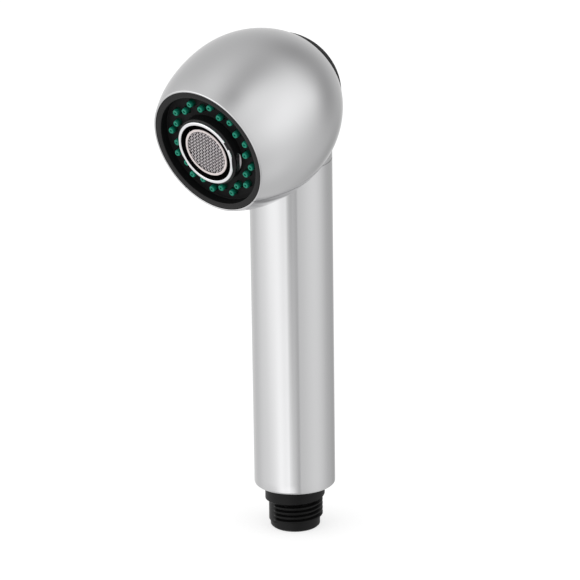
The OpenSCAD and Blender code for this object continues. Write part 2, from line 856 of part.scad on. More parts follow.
module waterway_tube() {
    outline = concat(
        [[inlet_bore_r, 0], [thread_root_r - inlet_chamfer, 0], [thread_root_r, inlet_chamfer]],
        [for (i = [0:thread_ridges - 1], p = ridge(thread_start + i * thread_pitch)) p],
        [
            [thread_root_r, collar_start],
            [collar_r, collar_start + collar_chamfer],
            [collar_r, flange_bottom],
            [flange_out_r, flange_bottom],
            [flange_out_r, flange_top - touch],
            [tube_r, flange_top - touch],
            [tube_r, tube_end_start],
            [tube_end_r, tube_end_start],
            [tube_end_r, tube_top],
            [tube_bore_r, tube_top],
            [tube_bore_r, inlet_bore_depth],
            [inlet_bore_r, inlet_bore_depth]
        ]
    );
    color(black) difference() {
        rotate_extrude() polygon(outline);
        for (z = tube_ring_heights) translate([0, 0, z])
            tube(tube_end_r + over, tube_end_r - groove_depth, -groove_w / 2, groove_w / 2);
    }
}

module tube_o_rings() {
    color(rubber) for (z = tube_ring_heights) o_ring(tube_end_r - ring_section_r, z);
}

module inlet_strainer() {
    count = ceil(valve_r / strainer_pitch);
    color(steel) translate([0, 0, strainer_set]) linear_extrude(height = strainer_t) difference() {
        circle(r = valve_r);
        for (i = [-count:count], j = [-count:count])
            if (norm([i, j]) * strainer_pitch < valve_r - strainer_hole)
                translate([i * strainer_pitch, j * strainer_pitch]) square(strainer_hole, center = true);
    }
}

module check_valve_body() {
    color(white) difference() {
        union() {
            tube(valve_r, valve_bore_r, valve_bottom, valve_top);
            tube(valve_mid_r, valve_seat_r, seat_z, seat_z + seat_t);
            disc(stem_r + valve_web_t, valve_top - guide_t, valve_top);
            for (a = [0, 60, 120]) rotate([0, 0, a])
                slab(valve_mid_r, valve_web_t / 2, valve_top - guide_t, valve_top - valve_web_set);
        }
        disc(stem_r + run, valve_top - guide_t - over, valve_top + over, $fn = 48);
        translate([0, 0, valve_ring_z])
            tube(valve_r + over, valve_r - ring_section_r, -groove_w / 2, groove_w / 2);
    }
}

module check_valve_o_ring() {
    color(rubber) translate([0, 0, valve_ring_z]) rotate_extrude()
        translate([valve_r - ring_section_r / 2, 0]) circle(r = ring_section_r / 2, $fn = 32);
}

module check_valve_poppet() {
    color(white) {
        disc(poppet_r, poppet_z, poppet_z + poppet_h);
        disc(stem_r, poppet_z + poppet_h - sliver, stem_top, $fn = 48);
        disc(stop_r, poppet_z + poppet_h - sliver, valve_top - guide_t - valve_lift - touch, $fn = 48);
        translate([0, 0, poppet_z - nose_h])
            cylinder(r1 = valve_seat_r / 2, r2 = valve_seat_r - nose_h / 2, h = nose_h + sliver);
    }
}

// Points round the spring's wire at turn t, sides of them
function wire_ring(t, sides) = [
    for (k = [0:sides - 1])
        let (a = 360 * t, b = 360 * k / sides,
             r = spring_r + spring_wire_r * cos(b),
             z = spring_low + (spring_high - spring_low) * t / spring_turns)
        [r * cos(a), r * sin(a), z + spring_wire_r * sin(b)]
];

module check_valve_spring() {
    sides = 6;
    steps = 12;
    rings = spring_turns * steps;
    points = [for (i = [0:rings], p = wire_ring(i / steps, sides)) p];
    quads = [
        for (i = [0:rings - 1], k = [0:sides - 1])
            let (a = i * sides + k, b = i * sides + (k + 1) % sides)
            [a, a + sides, b + sides, b]
    ];
    triangles = [for (q = quads, t = [[q[0], q[1], q[2]], [q[0], q[2], q[3]]]) t];
    first = [for (k = [1:sides - 2]) [0, k, k + 1]];
    last = [for (k = [1:sides - 2]) [rings * sides, rings * sides + k + 1, rings * sides + k]];
    color(steel) polyhedron(points, concat(triangles, first, last));
}

head_shell();
handle_shell();
face_plate();
nozzle_mat();
aerator_housing();
aerator_cartridge();
aerator_screen();
aerator_washer();
distributor();
distributor_o_ring();
distributor_screws();
diverter_housing();
housing_screws();
diverter_spool();
spool_o_rings();
spool_cap();
rocker_button();
rocker_bracket();
bracket_screws();
rocker_pin();
waterway_tube();
tube_o_rings();
inlet_strainer();
check_valve_body();
check_valve_poppet();
check_valve_spring();
check_valve_o_ring();
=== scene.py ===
# %% [markdown]
# # A hand sprayer, dressed for its CAD frame
#
# A silver ball on a straight handle. The ball's front holds a black spray face with
# green rubber nozzles round a chrome aerator, its back holds a black rocker button, and
# a black hose thread ends the handle.
#
# The CAD model is loaded first and never changed. Every piece is drawn in millimetres,
# in the frame of the part that it belongs to, and is then placed over its CAD node.

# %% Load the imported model
import itertools
import json
from math import asin, atan2, cos, degrees, exp, hypot, log, pi, radians, sin, sqrt, tan

import bmesh
import bpy
from mathutils import Matrix, Vector


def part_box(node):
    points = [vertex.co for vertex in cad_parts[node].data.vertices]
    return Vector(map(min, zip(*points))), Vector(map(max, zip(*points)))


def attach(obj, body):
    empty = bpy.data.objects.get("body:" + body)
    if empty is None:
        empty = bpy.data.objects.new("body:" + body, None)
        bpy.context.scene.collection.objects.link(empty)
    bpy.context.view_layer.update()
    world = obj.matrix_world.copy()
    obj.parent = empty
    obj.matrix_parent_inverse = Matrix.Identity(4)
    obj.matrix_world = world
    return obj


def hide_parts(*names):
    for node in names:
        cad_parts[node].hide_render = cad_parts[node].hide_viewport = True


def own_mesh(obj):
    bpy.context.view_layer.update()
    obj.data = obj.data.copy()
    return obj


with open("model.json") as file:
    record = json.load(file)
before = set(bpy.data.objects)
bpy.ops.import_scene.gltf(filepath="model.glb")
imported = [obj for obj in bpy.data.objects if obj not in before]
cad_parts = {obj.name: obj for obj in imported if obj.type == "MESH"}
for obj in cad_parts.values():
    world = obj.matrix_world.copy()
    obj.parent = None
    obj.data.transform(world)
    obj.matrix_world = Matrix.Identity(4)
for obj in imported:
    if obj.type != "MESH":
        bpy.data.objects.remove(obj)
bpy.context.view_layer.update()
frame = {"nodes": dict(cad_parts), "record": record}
MM = 0.001

# %% [markdown]
# ## Frames for drawing
#
# The head is tilted on the handle, so its pieces are drawn about the head's own axis: Z
# is the depth behind the spray face, and Y points down across it. Matrices carry
# finished pieces from there to the row frame, and from the button's axis to the head's
# frame. The ball's outline is four arcs that meet without a corner.

# %% Frames and the ball's outline
HEAD_R, WIDEST = 30.6, 25.9
BROW_R, BROW_TURN = 59.0, 15.8
CHEEK_R, LAST_TURN = 39.0, -60.0
BACK_R, BACK_TURN = 40.6, 49.0
FACE_TILT, BUTTON_TILT = radians(18.5), radians(5.5)
HEAD_AT = (0, -45.5, 154.6)

to_head = Matrix.Translation(HEAD_AT) @ Matrix.Rotation(FACE_TILT - pi / 2, 4, "X")


def ball_arcs():
    """Each arc of the outline: centre radius, centre depth, radius, last turn."""
    brow_turn, back_turn = radians(BROW_TURN), radians(BACK_TURN)
    brow, off = (HEAD_R - BROW_R, WIDEST, BROW_R), BROW_R - CHEEK_R
    cheek = (brow[0] + off * cos(brow_turn), WIDEST - off * sin(brow_turn), CHEEK_R)
    back = (HEAD_R - BACK_R, WIDEST, BACK_R)
    edge = back[0] + BACK_R * cos(back_turn)
    pole_z = WIDEST + BACK_R * sin(back_turn) - edge * tan(back_turn)
    pole = (0.0, pole_z, edge / cos(back_turn))
    return [(*pole, BACK_TURN), (*back, 0.0), (*brow, -BROW_TURN), (*cheek, LAST_TURN)]


BALL_ARCS = ball_arcs()
POLE_Z, POLE_R = BALL_ARCS[0][1:3]
at_pole = Matrix.Translation((0, 0, POLE_Z))
button_to_head = at_pole @ Matrix.Rotation(BUTTON_TILT, 4, "X")
print("pole arc: centre at depth", round(POLE_Z, 3), "radius", round(POLE_R, 3))

# %% [markdown]
# ## Points on the ball
#
# A line from the pole arc's centre meets the ball once in any direction, so the ball is
# walked over by directions alone. The mesh can start as a ring round the tilted button
# and end as a ring round the face, with every point on the true surface. The button's
# hole is a cylinder cut, so its edge is found by halving steps.

# %% Walk over the ball
HALVINGS = 36


def polar(radius, azimuth, z=0.0):
    """A point at a radius and an azimuth round the Z axis."""
    return Vector((radius * cos(azimuth), radius * sin(azimuth), z))


def ball_reach(way, inset=0.0):
    """Distance from the pole arc's centre to the ball's surface, one way."""
    out, along = hypot(way.x, way.y), way.z
    for centre_r, centre_z, radius, last_turn in BALL_ARCS:
        r, z = -centre_r, POLE_Z - centre_z
        back = r * out + z * along
        room = back * back - (r * r + z * z - (radius - inset) ** 2)
        reach = sqrt(max(room, 0.0)) - back
        turn = degrees(atan2(z + reach * along, r + reach * out))
        if turn >= last_turn - 1e-6:
            return reach
    return reach


def on_ball(way, inset=0.0):
    """The point of the ball's surface, in the head's frame, one way."""
    return Vector((0, 0, POLE_Z)) + way * ball_reach(way, inset)


def button_way(azimuth, radius, inset=0.0):
    """The way to the ball's surface, at a radius round the button's axis."""
    low, high = 0.0, pi / 2
    for _ in range(HALVINGS):
        middle = (low + high) / 2
        side = sin(middle)
        way = button_to_head.to_3x3() @ polar(side, azimuth, cos(middle))
        if side * ball_reach(way, inset) < radius:
            low = middle
        else:
            high = middle
    return way


def outline_r(depth, inset=0.0):
    """Radius of the ball's outline at a depth in front of its widest section."""
    for centre_r, centre_z, radius, last_turn in BALL_ARCS[2:]:
        rise = (depth - centre_z) / (radius - inset)
        if degrees(asin(rise)) >= last_turn:
            return centre_r + (radius - inset) * cos(asin(rise))


def face_way(azimuth, depth, inset=0.0):
    """The way to the ball's surface at a depth behind the face."""
    return polar(outline_r(depth, inset), azimuth, depth - POLE_Z).normalized()


print("widest radius of the ball:", round(outline_r(WIDEST), 3), "mm")

# %% [markdown]
# ## Small tools for meshes
#
# An outline is turned about an axis, or closed sections are joined round a ring, and
# one solid is cut by another. Real edges are never knife-sharp, so an outline's corners
# carry a radius, and a corner between curved walls is eased.

# %% Mesh helpers
KEEP_SHARP, MERGE_WITHIN = 35.0, 1e-5
BOX_SIDES = ((0, 1, 3, 2), (4, 6, 7, 5), (0, 4, 5, 1), (3, 7, 6, 2))
BOX_FACES = (*BOX_SIDES, (1, 5, 7, 3), (2, 6, 4, 0))


def rounded(corners, steps=5):
    """A closed outline through (x, y) or (x, y, radius) corners."""
    outline = []
    for i, corner in enumerate(corners):
        here = Vector(corner[:2])
        radius = corner[2] if len(corner) > 2 else 0.0
        if not radius:
            outline.append(tuple(here))
            continue
        back = (Vector(corners[i - 1][:2]) - here).normalized()
        ahead = (Vector(corners[(i + 1) % len(corners)][:2]) - here).normalized()
        half = back.angle(ahead) / 2
        centre = here + (back + ahead).normalized() * radius / sin(half)
        start, end = (here + way * radius / tan(half) - centre for way in (back, ahead))
        turn = end.angle_signed(start)
        for k in range(steps + 1):
            spoke = start.copy()
            spoke.rotate(Matrix.Rotation(turn * k / steps, 2))
            outline.append(tuple(centre + spoke))
    return outline


def eased(before, corner, after, steps=5):
    """Points of a short curve that leaves and meets its walls smoothly."""
    return [
        before * (1 - t) ** 2 + corner * 2 * t * (1 - t) + after * t * t
        for t in (k / steps for k in range(steps + 1))
    ]


def quads(rows, size, loop=False, climb=0, first=0):
    """Faces between rows of points, each row closed after its last point.

    A loop joins the last row to the first. With a climb, a row closes on the
    row that many places further on. The first point's number is first.
    """
    faces = []
    for i in range(rows if loop else rows - 1):
        for k in range(size):
            j, n = (i, k + 1) if k + 1 < size else (i + climb, 0)
            if loop or j + 1 < rows:
                ends = ((i, k), (j, n), ((j + 1) % rows, n), ((i + 1) % rows, k))
                faces.append([first + row * size + place for row, place in ends])
    return faces


def solid(name, points, faces, keep_sharp=KEEP_SHARP):
    """A closed mesh object, with normals outward and its hard edges marked."""
    mesh = bpy.data.meshes.new(name)
    mesh.from_pydata([tuple(p) for p in points], [], faces)
    work = bmesh.new()
    work.from_mesh(mesh)
    bmesh.ops.remove_doubles(work, verts=work.verts, dist=MERGE_WITHIN)
    bmesh.ops.recalc_face_normals(work, faces=work.faces)
    work.to_mesh(mesh)
    work.free()
    obj = bpy.data.objects.new(name, mesh)
    bpy.context.scene.collection.objects.link(obj)
    shade(obj, keep_sharp)
    return obj


def shade(obj, keep_sharp=KEEP_SHARP):
    """Smooth shading, apart from edges that turn by more than an angle."""
    obj.data.shade_smooth()
    obj.data.set_sharp_from_angle(angle=radians(keep_sharp))


def ring_solid(name, section, sides):
    """A closed section, drawn at equal turns round the axis and joined up."""
    sections = [section(2 * pi * i / sides) for i in range(sides)]
    faces = quads(sides, len(sections[0]), loop=True)
    return solid(name, [p for s in sections for p in s], faces)


def lathe(name, outline, sides=192):
    """An (r, z) outline turned about the Z axis."""

    def section(azimuth):
        return [polar(r, azimuth, z) for r, z in outline]

    return ring_solid(name, section, sides)


def tube(name, inner, outer, low, high, sides):
    """A plain tube about the Z axis, or a rod where the inner radius is 0."""
    outline = [(inner, low), (outer, low), (outer, high), (inner, high)]
    return lathe(name, outline, sides)


def block(name, low, high):
    """A plain block between two corners."""
    return solid(name, itertools.product(*zip(low, high, strict=True)), BOX_FACES)


def plain(obj):
    """Turns the object's modifiers into its own mesh, and removes them."""
    graph = bpy.context.evaluated_depsgraph_get()
    mesh = bpy.data.meshes.new_from_object(obj.evaluated_get(graph))
    obj.modifiers.clear()
    obj.data = mesh


def combine(target, operation, tool):
    """Joins, cuts or trims the target by a tool, which is then removed."""
    step = target.modifiers.new("combine", "BOOLEAN")
    step.solver, step.operation, step.object = "MANIFOLD", operation, tool
    plain(target)
    bpy.data.objects.remove(tool)
    return target


def moved(obj, matrix):
    """Moves the object's mesh, so that the object itself stays at the origin."""
    obj.data.transform(matrix)
    return obj


def tally(obj):
    """Prints the size of what was made."""
    obj.data.calc_loop_triangles()
    print(obj.name, "has", len(obj.data.loop_triangles), "triangles")


# %% [markdown]
# ## Materials
#
# A material starts from what the real part is and how it was made. Patterns are sized
# in millimetres of the real surface, and read Object coordinates, so they stay put when
# a joint moves. One function adds a node with its settings and its links, and a number
# that is the same all over a surface goes straight on the shader's socket.

# %% Material helpers
MATH, VECTOR_MATH = "ShaderNodeMath", "ShaderNodeVectorMath"
XYZ = "ShaderNodeCombineXYZ"


def linear(hex_colour):
    """An sRGB hex colour as linear red, green, blue and alpha."""
    parts = [int(hex_colour[i : i + 2], 16) / 255 for i in (1, 3, 5)]
    return tuple(
        c / 12.92 if c <= 0.04045 else ((c + 0.055) / 1.055) ** 2.4 for c in parts
    ) + (1.0,)


def add_node(tree, kind, settings=None, **links):
    """Adds a node, sets its values, then links or sets its inputs.

    One word in place of the settings is the node's operation. A link named _0
    or _1 goes to the input of that number. A whole node given as a value
    stands for its first output.
    """
    node = tree.nodes.new(kind)
    if isinstance(settings, str):
        settings = {"operation": settings}
    for name, value in (settings or {}).items():
        if hasattr(node, name):
            setattr(node, name, value)
        else:
            node.inputs[name].default_value = value
    for name, value in links.items():
        socket = node.inputs[int(name[1:]) if name[1:].isdigit() else name]
        if isinstance(value, bpy.types.Node):
            value = next(s for s in value.outputs if s.enabled)
        if isinstance(value, bpy.types.NodeSocket):
            tree.links.new(value, socket)
        else:
            socket.default_value = value
    return node


def new_material(name):
    """A material with an empty tree, and where its patterns are read."""
    material = bpy.data.materials.new(name)
    material.use_nodes = True
    tree = material.node_tree
    tree.nodes.clear()
    return material, tree, add_node(tree, "ShaderNodeTexCoord").outputs["Object"]


print("one function adds every node:", add_node.__name__)

# %% [markdown]
# ## Silver, chrome and steel
#
# Every finish has two patterns: a slow one that varies the gloss, and a fine grain that
# breaks up the highlights. Satin nickel, chrome and drawn steel are bare metal to the
# eye, so they are fully metallic and differ in colour and haze. The real grain is a few
# hundredths of a millimetre, and is drawn about ten times coarser, so that it shows.

# %% Metal finishes
NOISE_LOW, NOISE_HIGH = 0.3, 0.7
HAZE = (18.0, 0.02)


def surface(name, colours, roughness, slow, fine, settings):
    """A material with a slow change of gloss and a fine grain.

    Each pattern is given by its size in mm, and then by its change of gloss or
    its height in mm. A second colour mottles the first one.
    """
    material, tree, place = new_material(name)
    wander, grain = (
        add_node(tree, "ShaderNodeTexNoise", {"Scale": 1 / (size * MM)}, Vector=place)
        for size in (slow[0], fine[0])
    )
    spread = {"From Min": NOISE_LOW, "From Max": NOISE_HIGH}
    spread |= {"To Min": roughness - slow[1], "To Max": roughness + slow[1]}
    gloss = add_node(tree, "ShaderNodeMapRange", spread, Value=wander)
    relief = add_node(tree, "ShaderNodeBump", {"Distance": fine[1] * MM}, Height=grain)
    colour, *mottle = (linear(c) for c in colours)
    for other in mottle:
        mix = {"data_type": "RGBA"}
        colour = add_node(tree, "ShaderNodeMix", mix, Factor=wander, A=colour, B=other)
    links = {"Base Color": colour, "Roughness": gloss, "Normal": relief}
    shader = add_node(tree, "ShaderNodeBsdfPrincipled", settings, **links)
    add_node(tree, "ShaderNodeOutputMaterial", Surface=shader)
    return material


METALS = {
    # Nickel on ABS under a satin topcoat: a soft, pale grey mirror.
    "satin_nickel": ("satin_nickel_on_abs", ["#d3d3d4"], 0.14, 0.35, 0.0004),
    # Bright chrome on ABS: nearly white, with sharp reflections.
    "chrome": ("bright_chrome_on_abs", ["#f6f6f8"], 0.1, 0.5, 0.0001),
    # Drawn stainless wire and screws: warmer and duller than chrome.
    "stainless": ("drawn_stainless_steel", ["#d6d0d2"], 0.32, 0.2, 0.0006),
}
finishes = {
    slot: surface(*look, HAZE, (grain_mm, height), {"Metallic": 1.0})
    for slot, (*look, grain_mm, height) in METALS.items()
}
print("metals:", ", ".join(finishes))

# %% [markdown]
# ## Plastics and rubber
#
# A polished mould leaves a shallow orange-peel of about a millimetre, and a spark-
# eroded one a fine matt grain. The pigment mottles each colour very slightly. The black
# parts have a low specular level, because their matt grain traps light that a smooth
# face would throw off at a low angle.

# %% Moulded finishes
MOTTLE, LEVEL = (6.0, 0.03), 0.5
MOULDED = {
    # Black ABS off a polished mould: a dark, even sheen at a low angle.
    "black_plastic": (
        "polished_black_abs", ["#0f0e0f", "#131213"], 0.26, 1.2, 0.003, 1.54, 0.24
    ),
    # Black ABS off a spark-eroded mould: dead matt, for grip.
    "button_plastic": (
        "matt_black_abs", ["#0a0a0b", "#0e0e0f"], 0.6, 0.3, 0.01, 1.54, 0.15
    ),
    # Black nylon, a little waxy: its thread flanks shine softly.
    "thread_plastic": (
        "satin_black_nylon", ["#090909", "#0c0c0d"], 0.42, 0.8, 0.006, 1.53, 0.16
    ),
    # Silicone rubber: a deep green with a broad, soft shine.
    "green_silicone": (
        "green_silicone_rubber", ["#0d866d", "#109074"], 0.4, 0.5, 0.002, 1.41, LEVEL
    ),
    # Acetal with a trace of pigment: pale, smooth and slightly pink.
    "pale_plastic": (
        "pale_acetal", ["#dcd1d0", "#e3d9d7"], 0.38, 0.8, 0.002, 1.48, LEVEL
    ),
    # Natural acetal: the waxy off-white of valves and spools.
    "white_plastic": (
        "white_acetal", ["#dcdcd6", "#e4e4de"], 0.4, 0.8, 0.003, 1.48, LEVEL
    ),
    # Glass-filled nylon: dark grey, with the fibres' dry, dull skin.
    "grey_plastic": (
        "glass_filled_nylon", ["#3b3c3e", "#444547"], 0.5, 0.5, 0.006, 1.53, LEVEL
    ),
    # Nitrile rubber: seals, black and nearly without gloss.
    "black_rubber": (
        "black_nitrile_rubber", ["#151515", "#1b1b1b"], 0.6, 0.4, 0.006, 1.52, LEVEL
    ),
}
for slot, (*look, peel_mm, height, ior, level) in MOULDED.items():
    settings = {"IOR": ior, "Specular IOR Level": level}
    finishes[slot] = surface(*look, MOTTLE, (peel_mm, height), settings)
print("all finishes:", ", ".join(sorted(finishes)))

# %% [markdown]
# ## Painted shade on the rubber
#
# A nozzle's tip stands in the open, while its foot sits in the dark floor. The colour
# is darkened along the head's axis, from the tips to the floor: this is painted shade.

# %% Paint shade on the rubber towards the floor
FACE_MIDDLE, INWARD = to_head.translation * MM, to_head.to_3x3() @ Vector((0, 0, 1))
TIP_DEPTH, FOOT_DEPTH, FOOT_SHADE = 2.2, 3.4, 0.22

rubber = finishes["green_silicone"].node_tree
shader = rubber.nodes["Principled BSDF"]
pigment = shader.inputs["Base Color"].links[0].from_socket
place = add_node(rubber, "ShaderNodeTexCoord").outputs["Object"]
behind = add_node(rubber, VECTOR_MATH, "SUBTRACT", _0=place, _1=FACE_MIDDLE)
depth = add_node(rubber, VECTOR_MATH, "DOT_PRODUCT", _0=behind, _1=INWARD)
limits = {"From Min": TIP_DEPTH * MM, "From Max": FOOT_DEPTH * MM}
limits |= {"To Min": 1.0, "To Max": FOOT_SHADE}
# Painted shade: the rubber's colour darkens from its tips to its foot.
painted_shade = add_node(rubber, "ShaderNodeMapRange", limits, Value=depth.outputs["Value"])
shaded_rubber_colour = add_node(rubber, VECTOR_MATH, "SCALE", _0=pigment, Scale=painted_shade)
rubber.links.new(shaded_rubber_colour.outputs["Vector"], shader.inputs["Base Color"])
print("rubber deepens from", TIP_DEPTH, "to", FOOT_DEPTH, "mm behind the face")

# %% [markdown]
# ## Handing a piece over
#
# A finished piece is scaled to metres in its own mesh, so its object stays at the
# origin. It then rides on a body and stands for its CAD nodes, and it takes its slot's
# finish if it has none. A piece with more than one finish picks one for each polygon,
# by where it lies.

# %% Hand over a piece


def paint(obj, *slots, pick=None):
    """Gives the object its finishes, and picks one by radius and depth."""
    obj.data.materials.clear()
    for slot in slots:
        obj.data.materials.append(finishes[slot])
    for polygon in obj.data.polygons if pick else ():
        middle = polygon.center
        polygon.material_index = int(pick(Vector(middle[:2]).length, middle.z))


def hand_over(obj, slot, *nodes, body="sprayer", place=None):
    """Places a finished piece on its body, hides its nodes, gives the slot's finish if
    none.
    """
    if place is not None:
        moved(obj, place)
    moved(obj, Matrix.Scale(MM, 4))
    if not any(obj.data.materials):
        paint(obj, slot)
    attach(obj, body)
    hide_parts(*nodes)
    tally(obj)


# %% [markdown]
# ## The shells
#
# The two shells share one skin: a hollow ball that runs into a hollow tube, split on a
# slanted plane below the ball. Each of the ball's sections walks from the button's hole
# over the outside to the silver rim, in past the seat of the spray face, and back up
# the inside.

# %% Ball of the head
SHELL_WALL = 2.2
OPENING_R = 19.0
FACE_HOLE_R, LEDGE_R, LEDGE_Z, LEDGE_END = 23.7, 22.6, 9.1, 11.0
RIM_SET, RIM_EASE, HOLE_EASE = 0.35, 0.2, 0.3
BALL_SIDES, OUTER_STEPS, INNER_STEPS = 288, 120, 30
CORE_FRONT, CORE_SIDES, CORE_STEPS = 2.0, 96, 40


def ball_section(azimuth):
    """One closed section of the hollow ball, in the head's frame."""

    def at(r, z):
        return polar(r, azimuth, z)

    start = button_way(azimuth, OPENING_R + HOLE_EASE)
    end = face_way(azimuth, RIM_SET + RIM_EASE)
    points = [on_ball(start.slerp(end, k / OUTER_STEPS)) for k in range(OUTER_STEPS)]
    rim_r = outline_r(RIM_SET)
    middle = at((rim_r + FACE_HOLE_R) / 2, RIM_SET)
    points += eased(on_ball(end), at(rim_r, RIM_SET), middle)
    hole_wall = at(FACE_HOLE_R, RIM_SET + RIM_EASE)
    points += eased(middle, at(FACE_HOLE_R, RIM_SET), hole_wall)[1:]
    points += [at(FACE_HOLE_R, LEDGE_Z), at(LEDGE_R, LEDGE_Z), at(LEDGE_R, LEDGE_END)]
    start = face_way(azimuth, LEDGE_END, SHELL_WALL)
    end = button_way(azimuth, OPENING_R, SHELL_WALL)
    points += [
        on_ball(start.slerp(end, k / INNER_STEPS), SHELL_WALL)
        for k in range(INNER_STEPS + 1)
    ]
    edge = on_ball(button_way(azimuth, OPENING_R))
    wall = edge + (points[-1] - edge).normalized() * HOLE_EASE
    return points + eased(wall, edge, points[0])[:-1]


def ball_solid(name, inset, sides=CORE_SIDES, steps=CORE_STEPS):
    """The whole ball as a solid, moved in by inset."""
    front, back = face_way(0, RIM_SET, inset), Vector((0, 0, 1))
    outline = [(0.0, CORE_FRONT)]
    for k in range(steps + 1):
        point = on_ball(front.slerp(back, k / steps), inset)
        outline.append((max(point.x, 0.0), point.z))
    return moved(lathe(name, outline, sides), to_head)


ball = moved(ring_solid("ball", ball_section, BALL_SIDES), to_head)
tally(ball)

# %% [markdown]
# ### The handle's tube
#
# The outline has rows every few millimetres near the ball, so that the crease where the
# two meet shades cleanly.

# %% Join the handle to the ball
HANDLE_R, HANDLE_LOW, HANDLE_TOP, PAST_END = 15.3, 17.2, 154.4, 2.0
TOP_ROUND, LIP_ROUND, ROUND_STEPS = 6.0, 0.9, 8
FLANGE_SEAT_R, FLANGE_TOP, SHOULDER_R, SHOULDER_TOP = 13.4, 20.5, 11.2, 23.5
HANDLE_SIDES, ROW_GAP = 288, 3.0


def stairs(z, *steps):
    """An (r, z) outline that goes along each radius to its end, in turn."""
    outline = []
    for r, end in steps:
        outline += [(r, z), (r, end)]
        z = end
    return outline


def handle_solid(name, inset=0.0):
    """The handle as a solid with rounded ends, moved in by inset."""
    r, low, top = HANDLE_R - inset, HANDLE_LOW, HANDLE_TOP - inset
    corners = [(0, low), (r, low, LIP_ROUND), (r, top, TOP_ROUND - inset), (0, top)]
    outline = rounded(corners, ROUND_STEPS)
    split = next(i for i, p in enumerate(outline) if p[1] > (low + top) / 2)
    start, end = outline[split - 1][1], outline[split][1]
    rows = int((end - start) / ROW_GAP)
    wall = [(r, start + (end - start) * k / rows) for k in range(1, rows)]
    return lathe(name, outline[:split] + wall + outline[split:], HANDLE_SIDES)


def handle_hollow():
    """What is hollow inside the handle, with its flange seat and shoulder."""
    bore, top = HANDLE_R - SHELL_WALL, HANDLE_TOP - SHELL_WALL
    low = HANDLE_LOW - PAST_END
    walls = stairs(low, (FLANGE_SEAT_R, FLANGE_TOP), (SHOULDER_R, SHOULDER_TOP))
    corners = [(0, low), *walls, (bore, SHOULDER_TOP), (bore, top, TOP_ROUND / 2)]
    return lathe("hollow", rounded([*corners, (0, top)]), CORE_SIDES)


skin = handle_solid("skin")
combine(skin, "DIFFERENCE", ball_solid("ball_core", SHELL_WALL / 2))
combine(skin, "UNION", ball)
combine(skin, "DIFFERENCE", handle_hollow())
tally(skin)

# %% [markdown]
# ### The seam
#
# The shells part on a plane that rises a little to the back. Each of their edges is
# broken by a hair, so the seam reads as a fine dark line with a light edge. The groove
# is cut in steps: a thin slab round the plane, less the same body moved in by the
# step's depth.

# %% Cut the seam and part the shells
SEAM_Z, SEAM_SLOPE, SEAM_GAP, FAR = 142.7, radians(6.7), 0.12, 120.0
SEAM_STEPS = ((0.34, 0.03), (0.26, 0.06), (0.18, 0.11))
to_seam = Matrix.Translation((0, 0, SEAM_Z)) @ Matrix.Rotation(SEAM_SLOPE, 4, "X")


def seam_slab(low, high):
    """A wide slab between two heights over the seam plane."""
    return moved(block("slab", (-FAR, -FAR, low), (FAR, FAR, high)), to_seam)


for width, depth in SEAM_STEPS:
    core = handle_solid("core", depth)
    combine(core, "UNION", ball_solid("ball_inset", depth, BALL_SIDES, OUTER_STEPS))
    groove = combine(seam_slab(-width / 2, width / 2), "DIFFERENCE", core)
    combine(skin, "DIFFERENCE", groove)

head_skin, handle_skin = skin, skin.copy()
handle_skin.data = skin.data.copy()
bpy.context.scene.collection.objects.link(handle_skin)
head_skin.name, handle_skin.name = "head_skin", "handle_skin"
combine(head_skin, "INTERSECT", seam_slab(SEAM_GAP / 2, FAR))
combine(handle_skin, "INTERSECT", seam_slab(-2 * FAR, -SEAM_GAP / 2))
for shell in (head_skin, handle_skin):
    shade(shell)
hand_over(head_skin, "satin_nickel", "head_shell")
hand_over(handle_skin, "satin_nickel", "handle_shell")

# %% [markdown]
# ## The spray face
#
# The face is one black moulding: a flat outer ring, a sunk floor with a hole for each
# nozzle, and a round boss that the aerator screws into.

# %% Spray face
FACE_R, FACE_FRONT, RING_IN_R, SKIRT_Z = 23.6, 0.6, 21.4, 9.0
FLOOR_Z, FLOOR_BACK = 4.0, 5.4
SKIRT_IN_R, BOSS_R, BOSS_BORE_R, BOSS_FRONT, BOSS_BACK = 22.0, 13.05, 12.0, 0.1, 8.1
NOZZLE_RINGS = ((16.1, 90.0), (17.95, 105.0))
NOZZLES, NOZZLE_HOLE_R, HOLE_LOW, HOLE_HIGH = 12, 1.5, 3.0, 6.5
FINE_SIDES, HOLE_SIDES = 256, 32

skirt = stairs(SKIRT_Z, (SKIRT_IN_R, FLOOR_BACK), (BOSS_R, BOSS_BACK))
face_corners = [
    (FACE_R, FACE_FRONT, 0.15),
    (FACE_R, SKIRT_Z),
    *skirt,
    (BOSS_BORE_R, BOSS_BACK),
    (BOSS_BORE_R, BOSS_FRONT, 0.2),
    (BOSS_R, BOSS_FRONT, 0.3),
    (BOSS_R, FLOOR_Z, 0.25),
    (RING_IN_R, FLOOR_Z, 0.25),
    (RING_IN_R, FACE_FRONT, 0.2),
]
spray_face = lathe("spray_face", rounded(face_corners), FINE_SIDES)
for radius, start in NOZZLE_RINGS:
    for i in range(NOZZLES):
        way = polar(radius, radians(start + i * 360 / NOZZLES))
        drill = tube("drill", 0, NOZZLE_HOLE_R, HOLE_LOW, HOLE_HIGH, HOLE_SIDES)
        combine(spray_face, "DIFFERENCE", moved(drill, Matrix.Translation(way)))
tally(spray_face)

# %% [markdown]
# ### A painted highlight in the scoop, and a matt recess
#
# A shallow round scoop in the boss's side takes the stainless finish, a painted
# highlight that shows as a bright lens. The outer ring's front stays polished, and
# every face behind it takes the darker matt finish.

# %% Scoop the boss and pick the finishes
SCOOP_R, SCOOP_DEPTH, SCOOP_Z, SCOOP_TURN = 1.5, 0.7, 2.0, radians(15)
SCOOP_HALF, SCOOP_SIDES, NEAR_BORE, NEAR_WALL, NEAR_FRONT = 9.0, 64, 0.2, 0.01, 0.1
POLISHED, PAINTED_HIGHLIGHT, MATT = 0, 1, 2


